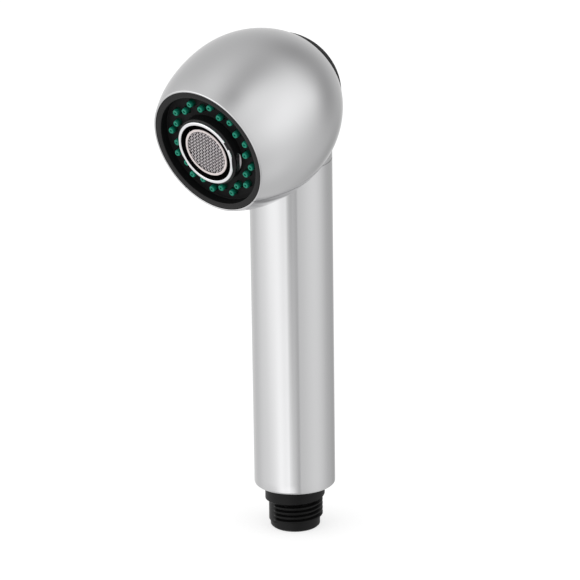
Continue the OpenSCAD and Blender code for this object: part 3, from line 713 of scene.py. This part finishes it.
def face_finish(r, z):
    """Stainless in the scoop as a painted highlight, matt behind the front, else
    polished.
    """
    in_boss_wall = BOSS_BORE_R + NEAR_BORE < r < BOSS_R - NEAR_WALL
    # The scoop's stainless finish is a painted highlight on the black boss.
    if in_boss_wall and abs(z - SCOOP_Z) < SCOOP_R:
        return PAINTED_HIGHLIGHT
    return MATT if z > FACE_FRONT + NEAR_FRONT else POLISHED


scoop = tube("scoop", 0, SCOOP_R, -SCOOP_HALF, SCOOP_HALF, SCOOP_SIDES)
moved(scoop, Matrix.Rotation(pi / 2, 4, "X"))
moved(scoop, Matrix.Translation((BOSS_R - SCOOP_DEPTH + SCOOP_R, 0, SCOOP_Z)))
combine(spray_face, "DIFFERENCE", moved(scoop, Matrix.Rotation(SCOOP_TURN, 4, "Z")))
paint(spray_face, "black_plastic", "stainless", "button_plastic", pick=face_finish)
shade(spray_face)
hand_over(spray_face, "black_plastic", "face_plate", place=to_head)

# %% [markdown]
# ## The nozzles
#
# The nozzles are one silicone mat: a ring behind the floor, with a soft cone through
# each hole. One cone is drawn, and a node tree sets copies of it round two rings. The
# counts, radii and angles are the tree's inputs.

# %% Node tree for the nozzles
RINGS, RING_SIZES = ("Inner", "Outer"), ("radius", "start")


def new_tree(name, inputs):
    """A geometry node tree with named inputs, its input and output nodes."""
    tree = bpy.data.node_groups.new(name, "GeometryNodeTree")
    ways = [("INPUT", *given) for given in (("Geometry", "Geometry"), *inputs)]
    for way, label, kind in (*ways, ("OUTPUT", "Geometry", "Geometry")):
        tree.interface.new_socket(label, in_out=way, socket_type="NodeSocket" + kind)
    return tree, tree.nodes.new("NodeGroupInput"), tree.nodes.new("NodeGroupOutput")


def finish_tree(tree, out, geometry, given):
    """Ends the tree in real geometry with a smooth shade and a material."""
    real = add_node(tree, "GeometryNodeRealizeInstances", Geometry=geometry)
    smooth = add_node(tree, "GeometryNodeSetShadeSmooth", Geometry=real)
    finish = given.outputs["Finish"]
    end = add_node(tree, "GeometryNodeSetMaterial", Geometry=smooth, Material=finish)
    tree.links.new(end.outputs["Geometry"], out.inputs["Geometry"])


def grow(obj, tree, values):
    """Runs a node tree on the object and keeps the result as a plain mesh."""
    step = obj.modifiers.new("grow", "NODES")
    step.node_group = tree
    for item in tree.interface.items_tree:
        if item.in_out == "INPUT" and item.name in values:
            step[item.identifier] = values[item.name]
    plain(obj)


def nozzle_tree():
    """Copies of the given cone round two rings."""
    sizes = [(f"{ring} ring {what}", "Float") for ring in RINGS for what in RING_SIZES]
    inputs = [("Nozzles per ring", "Int"), *sizes, ("Finish", "Material")]
    tree, given, out = new_tree("nozzle_rings", inputs)
    cone, count = (given.outputs[name] for name in ("Geometry", "Nozzles per ring"))
    both = add_node(tree, "GeometryNodeJoinGeometry")
    for ring in RINGS:
        radius, start = (given.outputs[f"{ring} ring {what}"] for what in RING_SIZES)
        circle = add_node(tree, "GeometryNodeMeshCircle", Vertices=count, Radius=radius)
        turn = add_node(tree, XYZ, Z=start)
        spun = add_node(tree, "GeometryNodeTransform", Geometry=circle, Rotation=turn)
        links = {"Points": spun, "Instance": cone}
        copies = add_node(tree, "GeometryNodeInstanceOnPoints", **links)
        tree.links.new(copies.outputs["Instances"], both.inputs["Geometry"])
    finish_tree(tree, out, both, given)
    return tree


nozzle_rings = nozzle_tree()
print("nozzle tree has", len(nozzle_rings.nodes), "nodes")

# %% [markdown]
# ### One nozzle, and its copies
#
# The cone, with its rounded tip and its jet hole, goes through the tree. The mat behind
# the floor is added to the same mesh.

# %% Nozzles and their mat
TIP_Z, TIP_R, FOOT_R, JET_R, MAT_BACK = 1.9, 1.1, 1.4, 0.42, 6.8
MAT_R, MAT_IN_R, MAT_SIDES, FOOT_Z = 21.9, 13.15, 128, FLOOR_BACK + 0.1
TIP_STEPS, NOZZLE_SIDES, NOZZLE_SHARP = 4, 32, 50

cone = [(JET_R, TIP_Z, 0.15), (TIP_R, TIP_Z, 0.4), (FOOT_R, FOOT_Z), (JET_R, FOOT_Z)]
nozzles = lathe("spray_nozzles", rounded(cone, TIP_STEPS), NOZZLE_SIDES)
values = {"Nozzles per ring": NOZZLES, "Finish": finishes["green_silicone"]}
for ring, (radius, start) in zip(RINGS, NOZZLE_RINGS, strict=True):
    values |= {f"{ring} ring radius": radius, f"{ring} ring start": radians(start)}
grow(nozzles, nozzle_rings, values)
mat = tube("mat", MAT_IN_R, MAT_R, FLOOR_BACK, MAT_BACK, MAT_SIDES)
work = bmesh.new()
for piece in (nozzles, mat):
    work.from_mesh(piece.data)
work.to_mesh(nozzles.data)
work.free()
bpy.data.objects.remove(mat)
shade(nozzles, NOZZLE_SHARP)
hand_over(nozzles, "green_silicone", "nozzle_mat", place=to_head)

# %% [markdown]
# ## The aerator
#
# A bright ring screws into the boss. Two narrow notches and two broad flats take the
# wrench. Plating hardly reaches into a bore, so the bore keeps the look of the bare
# plastic.

# %% Aerator ring
RING_R, RING_BORE_R, RING_THREAD_R = 12.35, 11.15, 11.9
RING_FRONT, RING_SEAT, RING_BACK = -0.8, 0.1, 7.3
NOTCHES = ((-22.5, 3.0, 0.45), (12.0, 7.0, 0.3))
PLATED_DEPTH, BORE_SKIN = 0.25, 0.08

ring_corners = [(RING_R, RING_FRONT, 0.35), (RING_R, RING_SEAT, 0.1)]
ring_corners += stairs(RING_SEAT, (RING_THREAD_R, RING_BACK))
ring_corners += [(RING_BORE_R, RING_BACK), (RING_BORE_R, RING_FRONT, 0.2)]
aerator_ring = lathe("aerator_ring", rounded(ring_corners), FINE_SIDES)
for turn, width, depth in NOTCHES:
    for side in (0, pi):
        low = (RING_R - depth, -width / 2, RING_FRONT - 1)
        notch = block("notch", low, (RING_R + 1, width / 2, RING_SEAT + 0.5))
        moved(notch, Matrix.Rotation(side + radians(turn), 4, "Z"))
        combine(aerator_ring, "DIFFERENCE", notch)
shade(aerator_ring)


def unplated(r, z):
    """Whether a place lies in the bore, deeper than the plating reaches."""
    return r < RING_BORE_R + BORE_SKIN and z > RING_FRONT + PLATED_DEPTH


paint(aerator_ring, "chrome", "black_plastic", pick=unplated)
hand_over(aerator_ring, "chrome", "aerator_housing", place=to_head)

# %% [markdown]
# ### The insert in the ring
#
# The insert is a cup on three webs across the ring's bore, and its floor is a sieve.
# Its front lip is pale. In the gap round it no light comes back from the sides, so they
# take the black.

# %% Aerator insert
INSERT_R, INSERT_LIP, INSERT_FRONT, LIP_DEPTH = 9.3, 0.95, -0.4, 0.24
SIEVE_FRONT, WEB_FRONT, WEB_HALF, WEB_PLAY = RING_BACK - 1.2, 4.9, 0.6, 0.1
SIEVE_RINGS = ((4.65, 6, 1.6, 30), (7.44, 12, 0.8, 15))
SIEVE_LOW, SIEVE_HIGH, SIEVE_SIDES, WEB_TURNS = 4, 9, 24, (0, 60, 120)

cup_r = INSERT_R - INSERT_LIP
cup = [(INSERT_R, INSERT_FRONT, 0.25), (INSERT_R, RING_BACK), (0, RING_BACK)]
cup += [(0, SIEVE_FRONT), (cup_r, SIEVE_FRONT), (cup_r, INSERT_FRONT, 0.25)]
insert = lathe("aerator_insert", rounded(cup))
web_end = RING_BORE_R - WEB_PLAY
for turn in WEB_TURNS:
    low, high = (-web_end, -WEB_HALF, WEB_FRONT), (web_end, WEB_HALF, RING_BACK)
    web = moved(block("web", low, high), Matrix.Rotation(radians(turn), 4, "Z"))
    combine(insert, "UNION", web)
for radius, count, hole_r, start in SIEVE_RINGS:
    for k in range(count):
        way = polar(radius, radians(start + 360 * k / count))
        hole = tube("hole", 0, hole_r, SIEVE_LOW, SIEVE_HIGH, SIEVE_SIDES)
        combine(insert, "DIFFERENCE", moved(hole, Matrix.Translation(way)))


def behind_lip(_, z):
    """Whether a place lies deeper than the pale front lip."""
    return z > INSERT_FRONT + LIP_DEPTH


paint(insert, "pale_plastic", "black_plastic", pick=behind_lip)
shade(insert)
hand_over(insert, "pale_plastic", "aerator_cartridge", place=to_head)

# %% [markdown]
# ### The woven screens
#
# Plain-woven wire: each wire rises over one crossing wire and dips under the next. A
# node tree lays wires in rows, waves them by a sine whose sign flips from row to row,
# trims them to the disc and gives them thickness. The other family is the same one
# turned by a right angle, half a wave out of step. The real pitch is near the size of a
# pixel, so the wires are drawn further apart.

# %% Node tree for a woven screen
WIRE_CORNERS, STEPS_PER_PITCH = 6, 8


def weave_tree():
    """Two crossing families of waved wires inside a disc."""
    sizes = ("Pitch", "Wire radius", "Screen radius", "Reach")
    inputs = [(size, "Float") for size in sizes]
    inputs += [("Rows", "Int"), ("Steps", "Int"), ("Finish", "Material")]
    tree, given, out = new_tree("woven_screen", inputs)
    pitch, wire, radius, reach = (given.outputs[size] for size in sizes)
    rows, steps = given.outputs["Rows"], given.outputs["Steps"]
    back = add_node(tree, MATH, "MULTIPLY", _0=reach, _1=-1.0)
    start, end = (add_node(tree, XYZ, X=x) for x in (back, reach))
    first, gap = (add_node(tree, XYZ, Y=y) for y in (back, pitch))
    line = add_node(tree, "GeometryNodeCurvePrimitiveLine", Start=start, End=end)
    fine = add_node(tree, "GeometryNodeResampleCurve", Curve=line, Count=steps)
    links = {"Count": rows, "Offset": gap, "Start Location": first}
    places = add_node(tree, "GeometryNodeMeshLine", {"mode": "OFFSET"}, **links)
    laid = add_node(tree, "GeometryNodeInstanceOnPoints", Points=places, Instance=fine)
    real = add_node(tree, "GeometryNodeRealizeInstances", Geometry=laid)
    here = add_node(tree, "GeometryNodeInputPosition")
    off = add_node(tree, VECTOR_MATH, "LENGTH", _0=here).outputs["Value"]
    beyond = add_node(tree, MATH, "GREATER_THAN", _0=off, _1=radius)
    links = {"Geometry": real, "Selection": beyond}
    trimmed = add_node(tree, "GeometryNodeDeleteGeometry", {"domain": "POINT"}, **links)
    place = add_node(tree, "ShaderNodeSeparateXYZ", Vector=here)
    wave = place.outputs["X"]
    for operation, value in (
        ("ADD", place.outputs["Y"]),
        ("DIVIDE", pitch),
        ("ADD", 0.5),
        ("MULTIPLY", pi),
        ("SINE", 0.0),
        ("MULTIPLY", wire),
    ):
        wave = add_node(tree, MATH, operation, _0=wave, _1=value)
    lift = add_node(tree, XYZ, Z=wave)
    waved = add_node(tree, "GeometryNodeSetPosition", Geometry=trimmed, Offset=lift)
    corners = {"Resolution": WIRE_CORNERS}
    ring = add_node(tree, "GeometryNodeCurvePrimitiveCircle", corners, Radius=wire)
    links = {"Curve": waved, "Profile Curve": ring}
    wires = add_node(tree, "GeometryNodeCurveToMesh", {"Fill Caps": True}, **links)
    turn = {"Rotation": (pi, 0, pi / 2)}
    crossing = add_node(tree, "GeometryNodeTransform", turn, Geometry=wires)
    both = add_node(tree, "GeometryNodeJoinGeometry", Geometry=wires)
    tree.links.new(crossing.outputs["Geometry"], both.inputs["Geometry"])
    finish_tree(tree, out, both, given)
    return tree


def woven(name, pitch, wire_r, radius, turn, depth):
    """A woven disc, turned and set at a depth along Z."""
    rows = 2 * int(radius / pitch) + 1
    values = {"Pitch": pitch, "Wire radius": wire_r, "Screen radius": radius}
    values |= {"Reach": pitch * (rows - 1) / 2, "Rows": rows}
    values |= {"Steps": (rows - 1) * STEPS_PER_PITCH + 1}
    values |= {"Finish": finishes["stainless"]}
    screen = block(name, (0, 0, 0), (1, 1, 1))
    grow(screen, woven_screen, values)
    place = Matrix.Translation((0, 0, depth)) @ Matrix.Rotation(turn, 4, "Z")
    return moved(screen, place)


woven_screen = weave_tree()
print("weave tree has", len(woven_screen.nodes), "nodes")

# %% [markdown]
# ### Two screens from one weave
#
# The aerator's screen lies just behind the insert's lip, turned as it was pressed in.
# The inlet's strainer is the same weave, a little closer.

# %% Screen in the aerator, strainer in the inlet
SCREEN_SIZE, SCREEN_TURN, SCREEN_DEPTH = (1.0, 0.17, 8.3), radians(60), 0.15
STRAINER_SIZE, STRAINER_HEIGHT = (0.9, 0.2, 7.35), 2.8

screen = woven("aerator_mesh", *SCREEN_SIZE, SCREEN_TURN, SCREEN_DEPTH)
hand_over(screen, "stainless", "aerator_screen", place=to_head)
strainer = woven("strainer_mesh", *STRAINER_SIZE, 0.0, STRAINER_HEIGHT)
hand_over(strainer, "stainless", "inlet_strainer")

# %% [markdown]
# ## The rocker button
#
# The button's top follows the ball, with two shallow thumb dishes. It is drawn as rings
# round its own axis: each point takes the lowest of the ball and the two dishes, with
# an eased change. The cap is level with the ball at its edge and domed a little over
# it, so that it shows as a thin black crescent.

# %% Rocker button
BUTTON_R, BUTTON_WALL, BUTTON_SKIRT_Z, BUTTON_EASE = 18.6, 1.8, 12.6, 0.45
DISH_OFFSET, DISH_CUT, DISH_R, DISH_BLEND = 9.5, 0.9, 30.0, 0.25
BUTTON_RINGS, BUTTON_SIDES, UNDER_STEPS = 60, 192, 12
EDGE_PROUD, DOME_RISE, DOME_POWER = 0.05, 1.3, 4
from_button = button_to_head.inverted()


def lowest(values, blend):
    """The lowest value, with an eased change from one to another."""
    low = min(values)
    total = sum(exp(-(v - low) / blend) for v in values)
    return low - blend * log(total)


def cap_point(azimuth, radius, inset=None, dished=True):
    """A point of the cap, in the button's frame, at a radius from its axis."""
    if inset is None:
        inset = -EDGE_PROUD - DOME_RISE * (1 - (radius / BUTTON_R) ** DOME_POWER)
    top = from_button @ on_ball(button_way(azimuth, radius, inset), inset)
    heights = [top.z]
    for side in (-1, 1) if dished else ():
        turn = side * asin(DISH_OFFSET / POLE_R)
        reach = POLE_R + DOME_RISE + DISH_R - DISH_CUT
        centre = Vector((0, -reach * sin(turn), reach * cos(turn)))
        off = (top - centre).xy.length
        if off < DISH_R:
            heights.append(centre.z - sqrt(DISH_R**2 - off**2))
    return Vector((top.x, top.y, lowest(heights, DISH_BLEND)))


def cap_section(azimuth):
    """One section of the cap, from its middle out, down and back under."""
    top_r, inner_r = BUTTON_R - BUTTON_EASE, BUTTON_R - BUTTON_WALL
    points = [
        cap_point(azimuth, top_r * k / BUTTON_RINGS) for k in range(BUTTON_RINGS)
    ]
    edge = cap_point(azimuth, BUTTON_R)
    below = edge - Vector((0, 0, BUTTON_EASE))
    points += eased(cap_point(azimuth, top_r), edge, below)
    points += [polar(r, azimuth, BUTTON_SKIRT_Z) for r in (BUTTON_R, inner_r)]
    return points + [
        cap_point(azimuth, inner_r * (1 - k / UNDER_STEPS), BUTTON_WALL, dished=False)
        for k in range(UNDER_STEPS + 1)
    ]


rocker_cap = ring_solid("rocker_cap", cap_section, BUTTON_SIDES)
moved(rocker_cap, button_to_head)
tally(rocker_cap)

# %% [markdown]
# ### Under the cap
#
# Two arms end in a round nose, which sits in the valve's groove. Two lugs beside them
# hang on the pin.

# %% Fork and lugs under the button
PIVOT_Z, SPOOL_Z, FORK_HALF, LUG_X, ARM_TOP = 52.0, 38.0, 3.95, 12.59, 62.0
ARM_HALF, ROOT_HALF, LUG_HALF, LUG_THICK, ROOT_Z = 1.0, 2.0, 2.6, 2.0, PIVOT_Z - 3
NOSE_R, PIN_HOLE_R, PIN_HOLE_HALF, BAR_SIDES = 1.5, 1.25, 20, 32
SLOT_HALF, SLOT_DEEP, SLOT_HIGH = 2.15, 2.5, 5


def upright(name, x, x_half, y_half, foot):
    """A block from a foot up into the cap."""
    low, high = (x - x_half, -y_half, foot), (x + x_half, y_half, ARM_TOP)
    return block(name, low, high)


arms = upright("arms", 0.0, FORK_HALF, ARM_HALF, SPOOL_Z)
combine(arms, "UNION", upright("root", 0.0, FORK_HALF, ROOT_HALF, ROOT_Z))
for x in (-LUG_X, LUG_X):
    combine(arms, "UNION", upright("lug", x, LUG_THICK / 2, LUG_HALF, ROOT_Z))
inner = moved(ball_solid("inner", BUTTON_WALL / 2), to_head.inverted())
combine(arms, "INTERSECT", inner)


def cross_bar(name, radius, half, depth):
    """A round bar along X at a depth behind the face."""
    turn = Matrix.Translation((0, 0, depth)) @ Matrix.Rotation(pi / 2, 4, "Y")
    return moved(tube(name, 0, radius, -half, half, BAR_SIDES), turn)


combine(arms, "UNION", cross_bar("nose", NOSE_R, FORK_HALF, SPOOL_Z))
combine(arms, "DIFFERENCE", cross_bar("pin_hole", PIN_HOLE_R, PIN_HOLE_HALF, PIVOT_Z))
slot_low = (-SLOT_HALF, -SLOT_DEEP, SPOOL_Z - SLOT_DEEP)
slot_high = (SLOT_HALF, SLOT_DEEP, SPOOL_Z + SLOT_HIGH)
combine(arms, "DIFFERENCE", block("slot", slot_low, slot_high))
combine(rocker_cap, "UNION", arms)
shade(rocker_cap)
hand_over(
    rocker_cap, "button_plastic", "rocker_button", body="rocker", place=to_head
)

# %% [markdown]
# ## The threaded inlet
#
# The hose screws on a right-handed thread of four turns. The rows of the mesh climb
# with the thread, so each crest and root is one row. Rows that would leave the threaded
# length are clamped to its ends, where their doubled points merge away. The mould left
# a smooth strip on one side, and the last turn runs out into the collar.

# %% Thread and tube
THREAD_R, ROOT_R, PITCH, FIRST_CREST, TURNS = 10.4775, 9.4, 1.814, 3.85, 4
COLLAR_R, COLLAR_TOP, INLET_CHAMFER, RUN_OUT_H = 11.3, 17.8, 0.6, 1.5
INLET_BORE_R, TUBE_FLANGE_R, TUBE_R, TUBE_BORE_R = 7.6, 13.2, 9.6, 6.8
THREAD_SIDES, ROWS_PER_PITCH, THREAD_END = 240, 24, 13.2
CREST_ROWS, FLANK_ROWS, FIRST_FADE, LAST_FADE = 3, 7, (-0.12, 0.05), 0.3
LEFT = radians(-139.4)
STRIP_R, STRIP_START, STRIP_MIDDLE, STRIP_HALF, STRIP_FADE = 9.95, 1.2, 12.0, 22.0, 12.0
RUN_OUT_LOW, RUN_OUT_HIGH, RUN_OUT_FADE, PITCHES_BELOW = 9.4, 11.2, (0.9, 1.0), 4


def smooth(value, low, high):
    """An eased step from 0 at low to 1 at high."""
    t = min(max((value - low) / (high - low), 0.0), 1.0)
    return t * t * (3 - 2 * t)


def ridge_height(turns, height):
    """The thread's height over its root, 0 to 1."""
    crest = (height - FIRST_CREST) / PITCH - turns
    nearest = min(max(round(crest), -1), TURNS - 1)
    off = abs(crest - nearest) * ROWS_PER_PITCH
    ridge = min(max((CREST_ROWS + FLANK_ROWS - off) / FLANK_ROWS, 0.0), 1.0)
    along = nearest + turns
    fade_out = smooth(along, TURNS - LAST_FADE, TURNS)
    return ridge * smooth(along, *FIRST_FADE) * (1 - fade_out)


def inlet_radius(turns, height):
    """The outside radius of the inlet at a turn from its left side."""
    ridge = ridge_height(turns, height)
    off_strip = abs((turns * 360 - STRIP_MIDDLE + 180) % 360 - 180)
    on_strip = 1 - smooth(off_strip, STRIP_HALF, STRIP_HALF + STRIP_FADE)
    radius = ROOT_R + (THREAD_R - ROOT_R) * ridge
    if height > FIRST_CREST - STRIP_START:
        radius += (STRIP_R - radius) * on_strip
    climb = min(turns * 2, 1.0) * (1 - smooth(turns, *RUN_OUT_FADE))
    foot = RUN_OUT_LOW + (RUN_OUT_HIGH - RUN_OUT_LOW) * climb
    ramp = ROOT_R + (COLLAR_R - ROOT_R) * (height - foot) / RUN_OUT_H
    radius = max(radius, min(ramp, COLLAR_R))
    return min(radius, ROOT_R - INLET_CHAMFER + height)


def inlet_points():
    """Rows that climb with the thread, clamped to the threaded length."""
    low = FIRST_CREST - PITCHES_BELOW * PITCH
    rows = int((THREAD_END - low) / PITCH * ROWS_PER_PITCH) + 2
    points = []
    for i in range(rows):
        for j in range(THREAD_SIDES):
            turns = j / THREAD_SIDES
            z = low + PITCH * (i / ROWS_PER_PITCH + turns)
            z = min(max(z, 0.0), THREAD_END)
            r, a = inlet_radius(turns, z), LEFT + 2 * pi * turns
            points.append(polar(r, a, z))
    return points, quads(rows, THREAD_SIDES, climb=ROWS_PER_PITCH)


def plain_rows(first, outline):
    """Rows of an (r, z) outline, in the same turns as the thread's columns."""
    turns = [LEFT + 2 * pi * j / THREAD_SIDES for j in range(THREAD_SIDES)]
    points = [polar(r, a, z) for r, z in outline for a in turns]
    return points, quads(len(outline), THREAD_SIDES, first=first)


print("rows per pitch of the thread:", ROWS_PER_PITCH)

# %% [markdown]
# ### The tube above the thread
#
# A flange over the collar holds the tube in the handle, and a slimmer spigot plugs into
# the valve. Outside and bore close the thread's rows into one solid.

# %% Close the inlet into one tube
FLANGE_END, SPIGOT_R, SPIGOT_LENGTH, INLET_BORE_END = 20.48, 8.9, 16.6, 21.5
TUBE_SHARP = 40
tube_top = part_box("waterway_tube")[1].z / MM

points, faces = inlet_points()
tube_outline = stairs(
    THREAD_END,
    (COLLAR_R, COLLAR_TOP),
    (TUBE_FLANGE_R, FLANGE_END),
    (TUBE_R, tube_top - SPIGOT_LENGTH),
    (SPIGOT_R, tube_top),
    (TUBE_BORE_R, INLET_BORE_END),
    (INLET_BORE_R, 0.0),
)
tube_outline.append((ROOT_R - INLET_CHAMFER, 0.0))
more_points, more_faces = plain_rows(len(points), tube_outline)
inlet = solid("inlet_thread", points + more_points, faces + more_faces, TUBE_SHARP)
hand_over(inlet, "thread_plastic", "waterway_tube")

# %% [markdown]
# ## The valve's spring
#
# The check valve's poppet lifts against a coil spring, which shortens as the poppet
# rises while its top stays on the guide. Here it is a piece of its own, drawn at one
# length.

# %% Valve spring
COIL_R, WIRE_R, COIL_LOW, COIL_HIGH, COIL_TURNS = 2.6, 0.3, 8.74, 15.98, 5
POPPET_LIFT, COIL_STEPS, WIRE_SIDES, END_SHARP = 2.4, 36, 12, 60

rings = COIL_TURNS * COIL_STEPS
coil_points = []
for i in range(rings + 1):
    z = COIL_LOW + (COIL_HIGH - COIL_LOW) * i / rings
    for k in range(WIRE_SIDES):
        b = 2 * pi * k / WIRE_SIDES
        r, height = COIL_R + WIRE_R * cos(b), z + WIRE_R * sin(b)
        coil_points.append(polar(r, 2 * pi * i / COIL_STEPS, height))
ends = (0, rings * WIRE_SIDES)
coil_faces = [tuple(end + k for k in range(WIRE_SIDES)) for end in ends]
coil_faces += quads(rings + 1, WIRE_SIDES)
spring = solid("valve_spring", coil_points, coil_faces, END_SHARP)
hand_over(spring, "stainless", "check_valve_spring")
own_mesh(spring)

# %% [markdown]
# ## Parts that keep their CAD shape
#
# Screws, seals, the diverter and the rest of the valve sit inside the shells. They only
# take their slot's finish.

# %% Finish the carried-over parts
slots = {s["node"]: s["material_slot"] for s in frame["record"]["subparts"]}
carried = {n: node for n, node in frame["nodes"].items() if not node.hide_render}
for name, node in carried.items():
    paint(node, slots[name])
print("carried over:", len(carried), "nodes")

# %% [markdown]
# ## Camera
#
# It stands about a metre away, to the right and a little above, and is turned by less
# than a degree about its own line of sight.

# %% Camera
CAMERA_AT = Vector((645.15, -754.04, 396.23))
CAMERA_AZIMUTH, CAMERA_HEIGHT, CAMERA_ROLL, CAMERA_LENS = 40.60, 17.00, -0.781, 173.63
SENSOR, CLIP_START, CLIP_END = 36.0, 0.05, 20.0


def direction(turn, height):
    """A direction, from its turn off the camera and its height, in degrees."""
    a, e = radians(CAMERA_AZIMUTH + turn), radians(height)
    return Vector((sin(a) * cos(e), -cos(a) * cos(e), sin(e)))


roll = radians(CAMERA_ROLL)
backward, level = direction(0, CAMERA_HEIGHT), direction(90, 0)
upward = backward.cross(level)
right = level * cos(roll) + upward * sin(roll)
up = upward * cos(roll) - level * sin(roll)
axes = Matrix((right, up, backward)).transposed().to_4x4()
camera = bpy.data.objects.new("camera", bpy.data.cameras.new("camera"))
bpy.context.scene.collection.objects.link(camera)
camera.data.lens, camera.data.sensor_width = CAMERA_LENS, SENSOR
camera.data.clip_start, camera.data.clip_end = CLIP_START, CLIP_END
camera.matrix_world = Matrix.Translation(CAMERA_AT * MM) @ axes
bpy.context.scene.camera = camera
print("camera at", [round(v) for v in CAMERA_AT], "mm")

# %% [markdown]
# ## Light
#
# Satin metal shows the room more than itself, so the light is a studio drawn in the
# world: a pale room, wide soft lights, and dark flags that take light away. Each is a
# round patch with a soft edge: a turn off the camera and a height over the horizon in
# degrees, a tightness and a strength.

# %% Room, lights and flags
ROOM = 0.626
PATCHES = {
    "key_right": (62, 24, 3.2, 0.66),
    "rear_right": (97, 16, 40.4, 0.13),
    "high_right": (25, 55, 10.2, 0.42),
    "high_left": (-67, 75, 8.76, 0.41),
    "wide_left": (-60, 8, 10.8, 1.44),
    "low_left": (-35, -27, 24.8, 0.66),
    "low_right": (71, -44, 17, 0.13),
    "low_rear": (-175, -30, 3.86, 0.22),
    "flag_over": (20, 77, 8.27, -0.57),
    "flag_camera": (-5, -16, 110, -0.42),
    "side_left": (-97, 9, 12, 0.75),
    "flag_side": (117, 6, 10.3, -0.31),
    "flag_rear": (137, 42, 11, -0.26),
    "flag_low": (152, -27, 17.3, -0.29),
    "edge_left": (-8, -24, 37.3, 0.86),
    "flag_band": (-2, 57, 21.7, -0.28),
    "low_side": (-98, -42, 20, 0.19),
    "flag_key": (41, 37, 12.6, -0.22),
}

world = bpy.data.worlds.new("studio")
bpy.context.scene.world = world
world.use_nodes = True
tree = world.node_tree
tree.nodes.clear()
ray = add_node(tree, "ShaderNodeTexCoord").outputs["Generated"]
total = ROOM
for turn, height, tightness, strength in PATCHES.values():
    way = direction(turn, height)
    patch = add_node(tree, VECTOR_MATH, "DOT_PRODUCT", _0=ray, _1=way).outputs["Value"]
    for operation, second, third in (
        ("MULTIPLY_ADD", tightness, -tightness),
        ("EXPONENT", 0.0, 0.0),
        ("MULTIPLY_ADD", strength, total),
    ):
        patch = add_node(tree, MATH, operation, _0=patch, _1=second, _2=third)
    total = patch
print("lights and flags:", ", ".join(PATCHES))

# %% [markdown]
# ### The gap between the front lights
#
# The camera looks through a gap between two large lights, and a gap has straight edges.
# The handle shows it as a darker band along its whole length. The gap is a rectangle of
# directions: a ray's offset from its middle is measured sideways and upwards, and each
# gives a mask with a steep edge. Only the half of the room in front of the sprayer
# counts.

# %% A straight-edged gap
GAP_TURN, GAP_HEIGHT, GAP_STRENGTH = 1.0, -35.0, -0.24
GAP_HALF_WIDTH, GAP_HALF_HEIGHT, GAP_SIDE_EDGE, GAP_END_EDGE = 14.0, 25.0, 0.03, 0.12

mask = GAP_STRENGTH
for way, half_angle, edge in (
    (direction(GAP_TURN + 90, 0), GAP_HALF_WIDTH, GAP_SIDE_EDGE),
    (direction(GAP_TURN, GAP_HEIGHT + 90), GAP_HALF_HEIGHT, GAP_END_EDGE),
):
    half = sin(radians(half_angle))
    off = add_node(tree, VECTOR_MATH, "DOT_PRODUCT", _0=ray, _1=way).outputs["Value"]
    size = add_node(tree, MATH, "ABSOLUTE", _0=off)
    steep = {"operation": "MULTIPLY_ADD", "use_clamp": True}
    part = add_node(tree, MATH, steep, _0=size, _1=-1 / edge, _2=0.5 + half / edge)
    mask = add_node(tree, MATH, "MULTIPLY", _0=part, _1=mask)
way = direction(GAP_TURN, GAP_HEIGHT)
ahead = add_node(tree, VECTOR_MATH, "DOT_PRODUCT", _0=ray, _1=way).outputs["Value"]
front = add_node(tree, MATH, "GREATER_THAN", _0=ahead, _1=0.0)
total = add_node(tree, MATH, "MULTIPLY_ADD", _0=mask, _1=front, _2=total)
print("gap of", 2 * GAP_HALF_WIDTH, "degrees round the camera")

# %% [markdown]
# ### What the camera sees
#
# The room is only there to be mirrored. A ray that comes straight from the camera finds
# plain white instead.

# %% White behind the sprayer
BACKDROP = 1.0
lit = add_node(tree, MATH, "MAXIMUM", _0=total, _1=0.0)
seen = add_node(tree, "ShaderNodeLightPath").outputs["Is Camera Ray"]
plain_mix = {"data_type": "FLOAT"}
strength = add_node(tree, "ShaderNodeMix", plain_mix, Factor=seen, A=lit, B=BACKDROP)
white = {"Color": linear("#ffffff")}
sky = add_node(tree, "ShaderNodeBackground", white, Strength=strength)
add_node(tree, "ShaderNodeOutputWorld", Surface=sky)
print("world has", len(tree.nodes), "nodes")

# %% [markdown]
# ## Floor
#
# The sprayer stands on the end of its thread. The camera sees the pale floor as white
# apart from a soft shadow. The floor isn't seen in the metal, which reflects the studio
# below it instead.

# %% Floor
FLOOR_HALF, FLOOR_LOW, FLOOR_GLOW = 3.0, -0.01, 0.62
floor_low = (-FLOOR_HALF, -FLOOR_HALF, FLOOR_LOW)
floor = block("floor", floor_low, (FLOOR_HALF, FLOOR_HALF, 0.0))
material, tree, place = new_material("pale_floor")
paper = add_node(tree, "ShaderNodeBsdfDiffuse", {"Color": linear("#c8c8c8")})
glow = add_node(tree, "ShaderNodeEmission", {"Strength": FLOOR_GLOW})
both = add_node(tree, "ShaderNodeAddShader", _0=paper, _1=glow)
add_node(tree, "ShaderNodeOutputMaterial", Surface=both)
floor.data.materials.append(material)
floor.visible_glossy = floor.visible_diffuse = floor.visible_transmission = False
print("floor is", 2 * FLOOR_HALF, "m wide")

# %% [markdown]
# ## Finish
#
# Colours show as written with the Standard view transform.

# %% Finish
bpy.context.scene.view_settings.view_transform = "Standard"
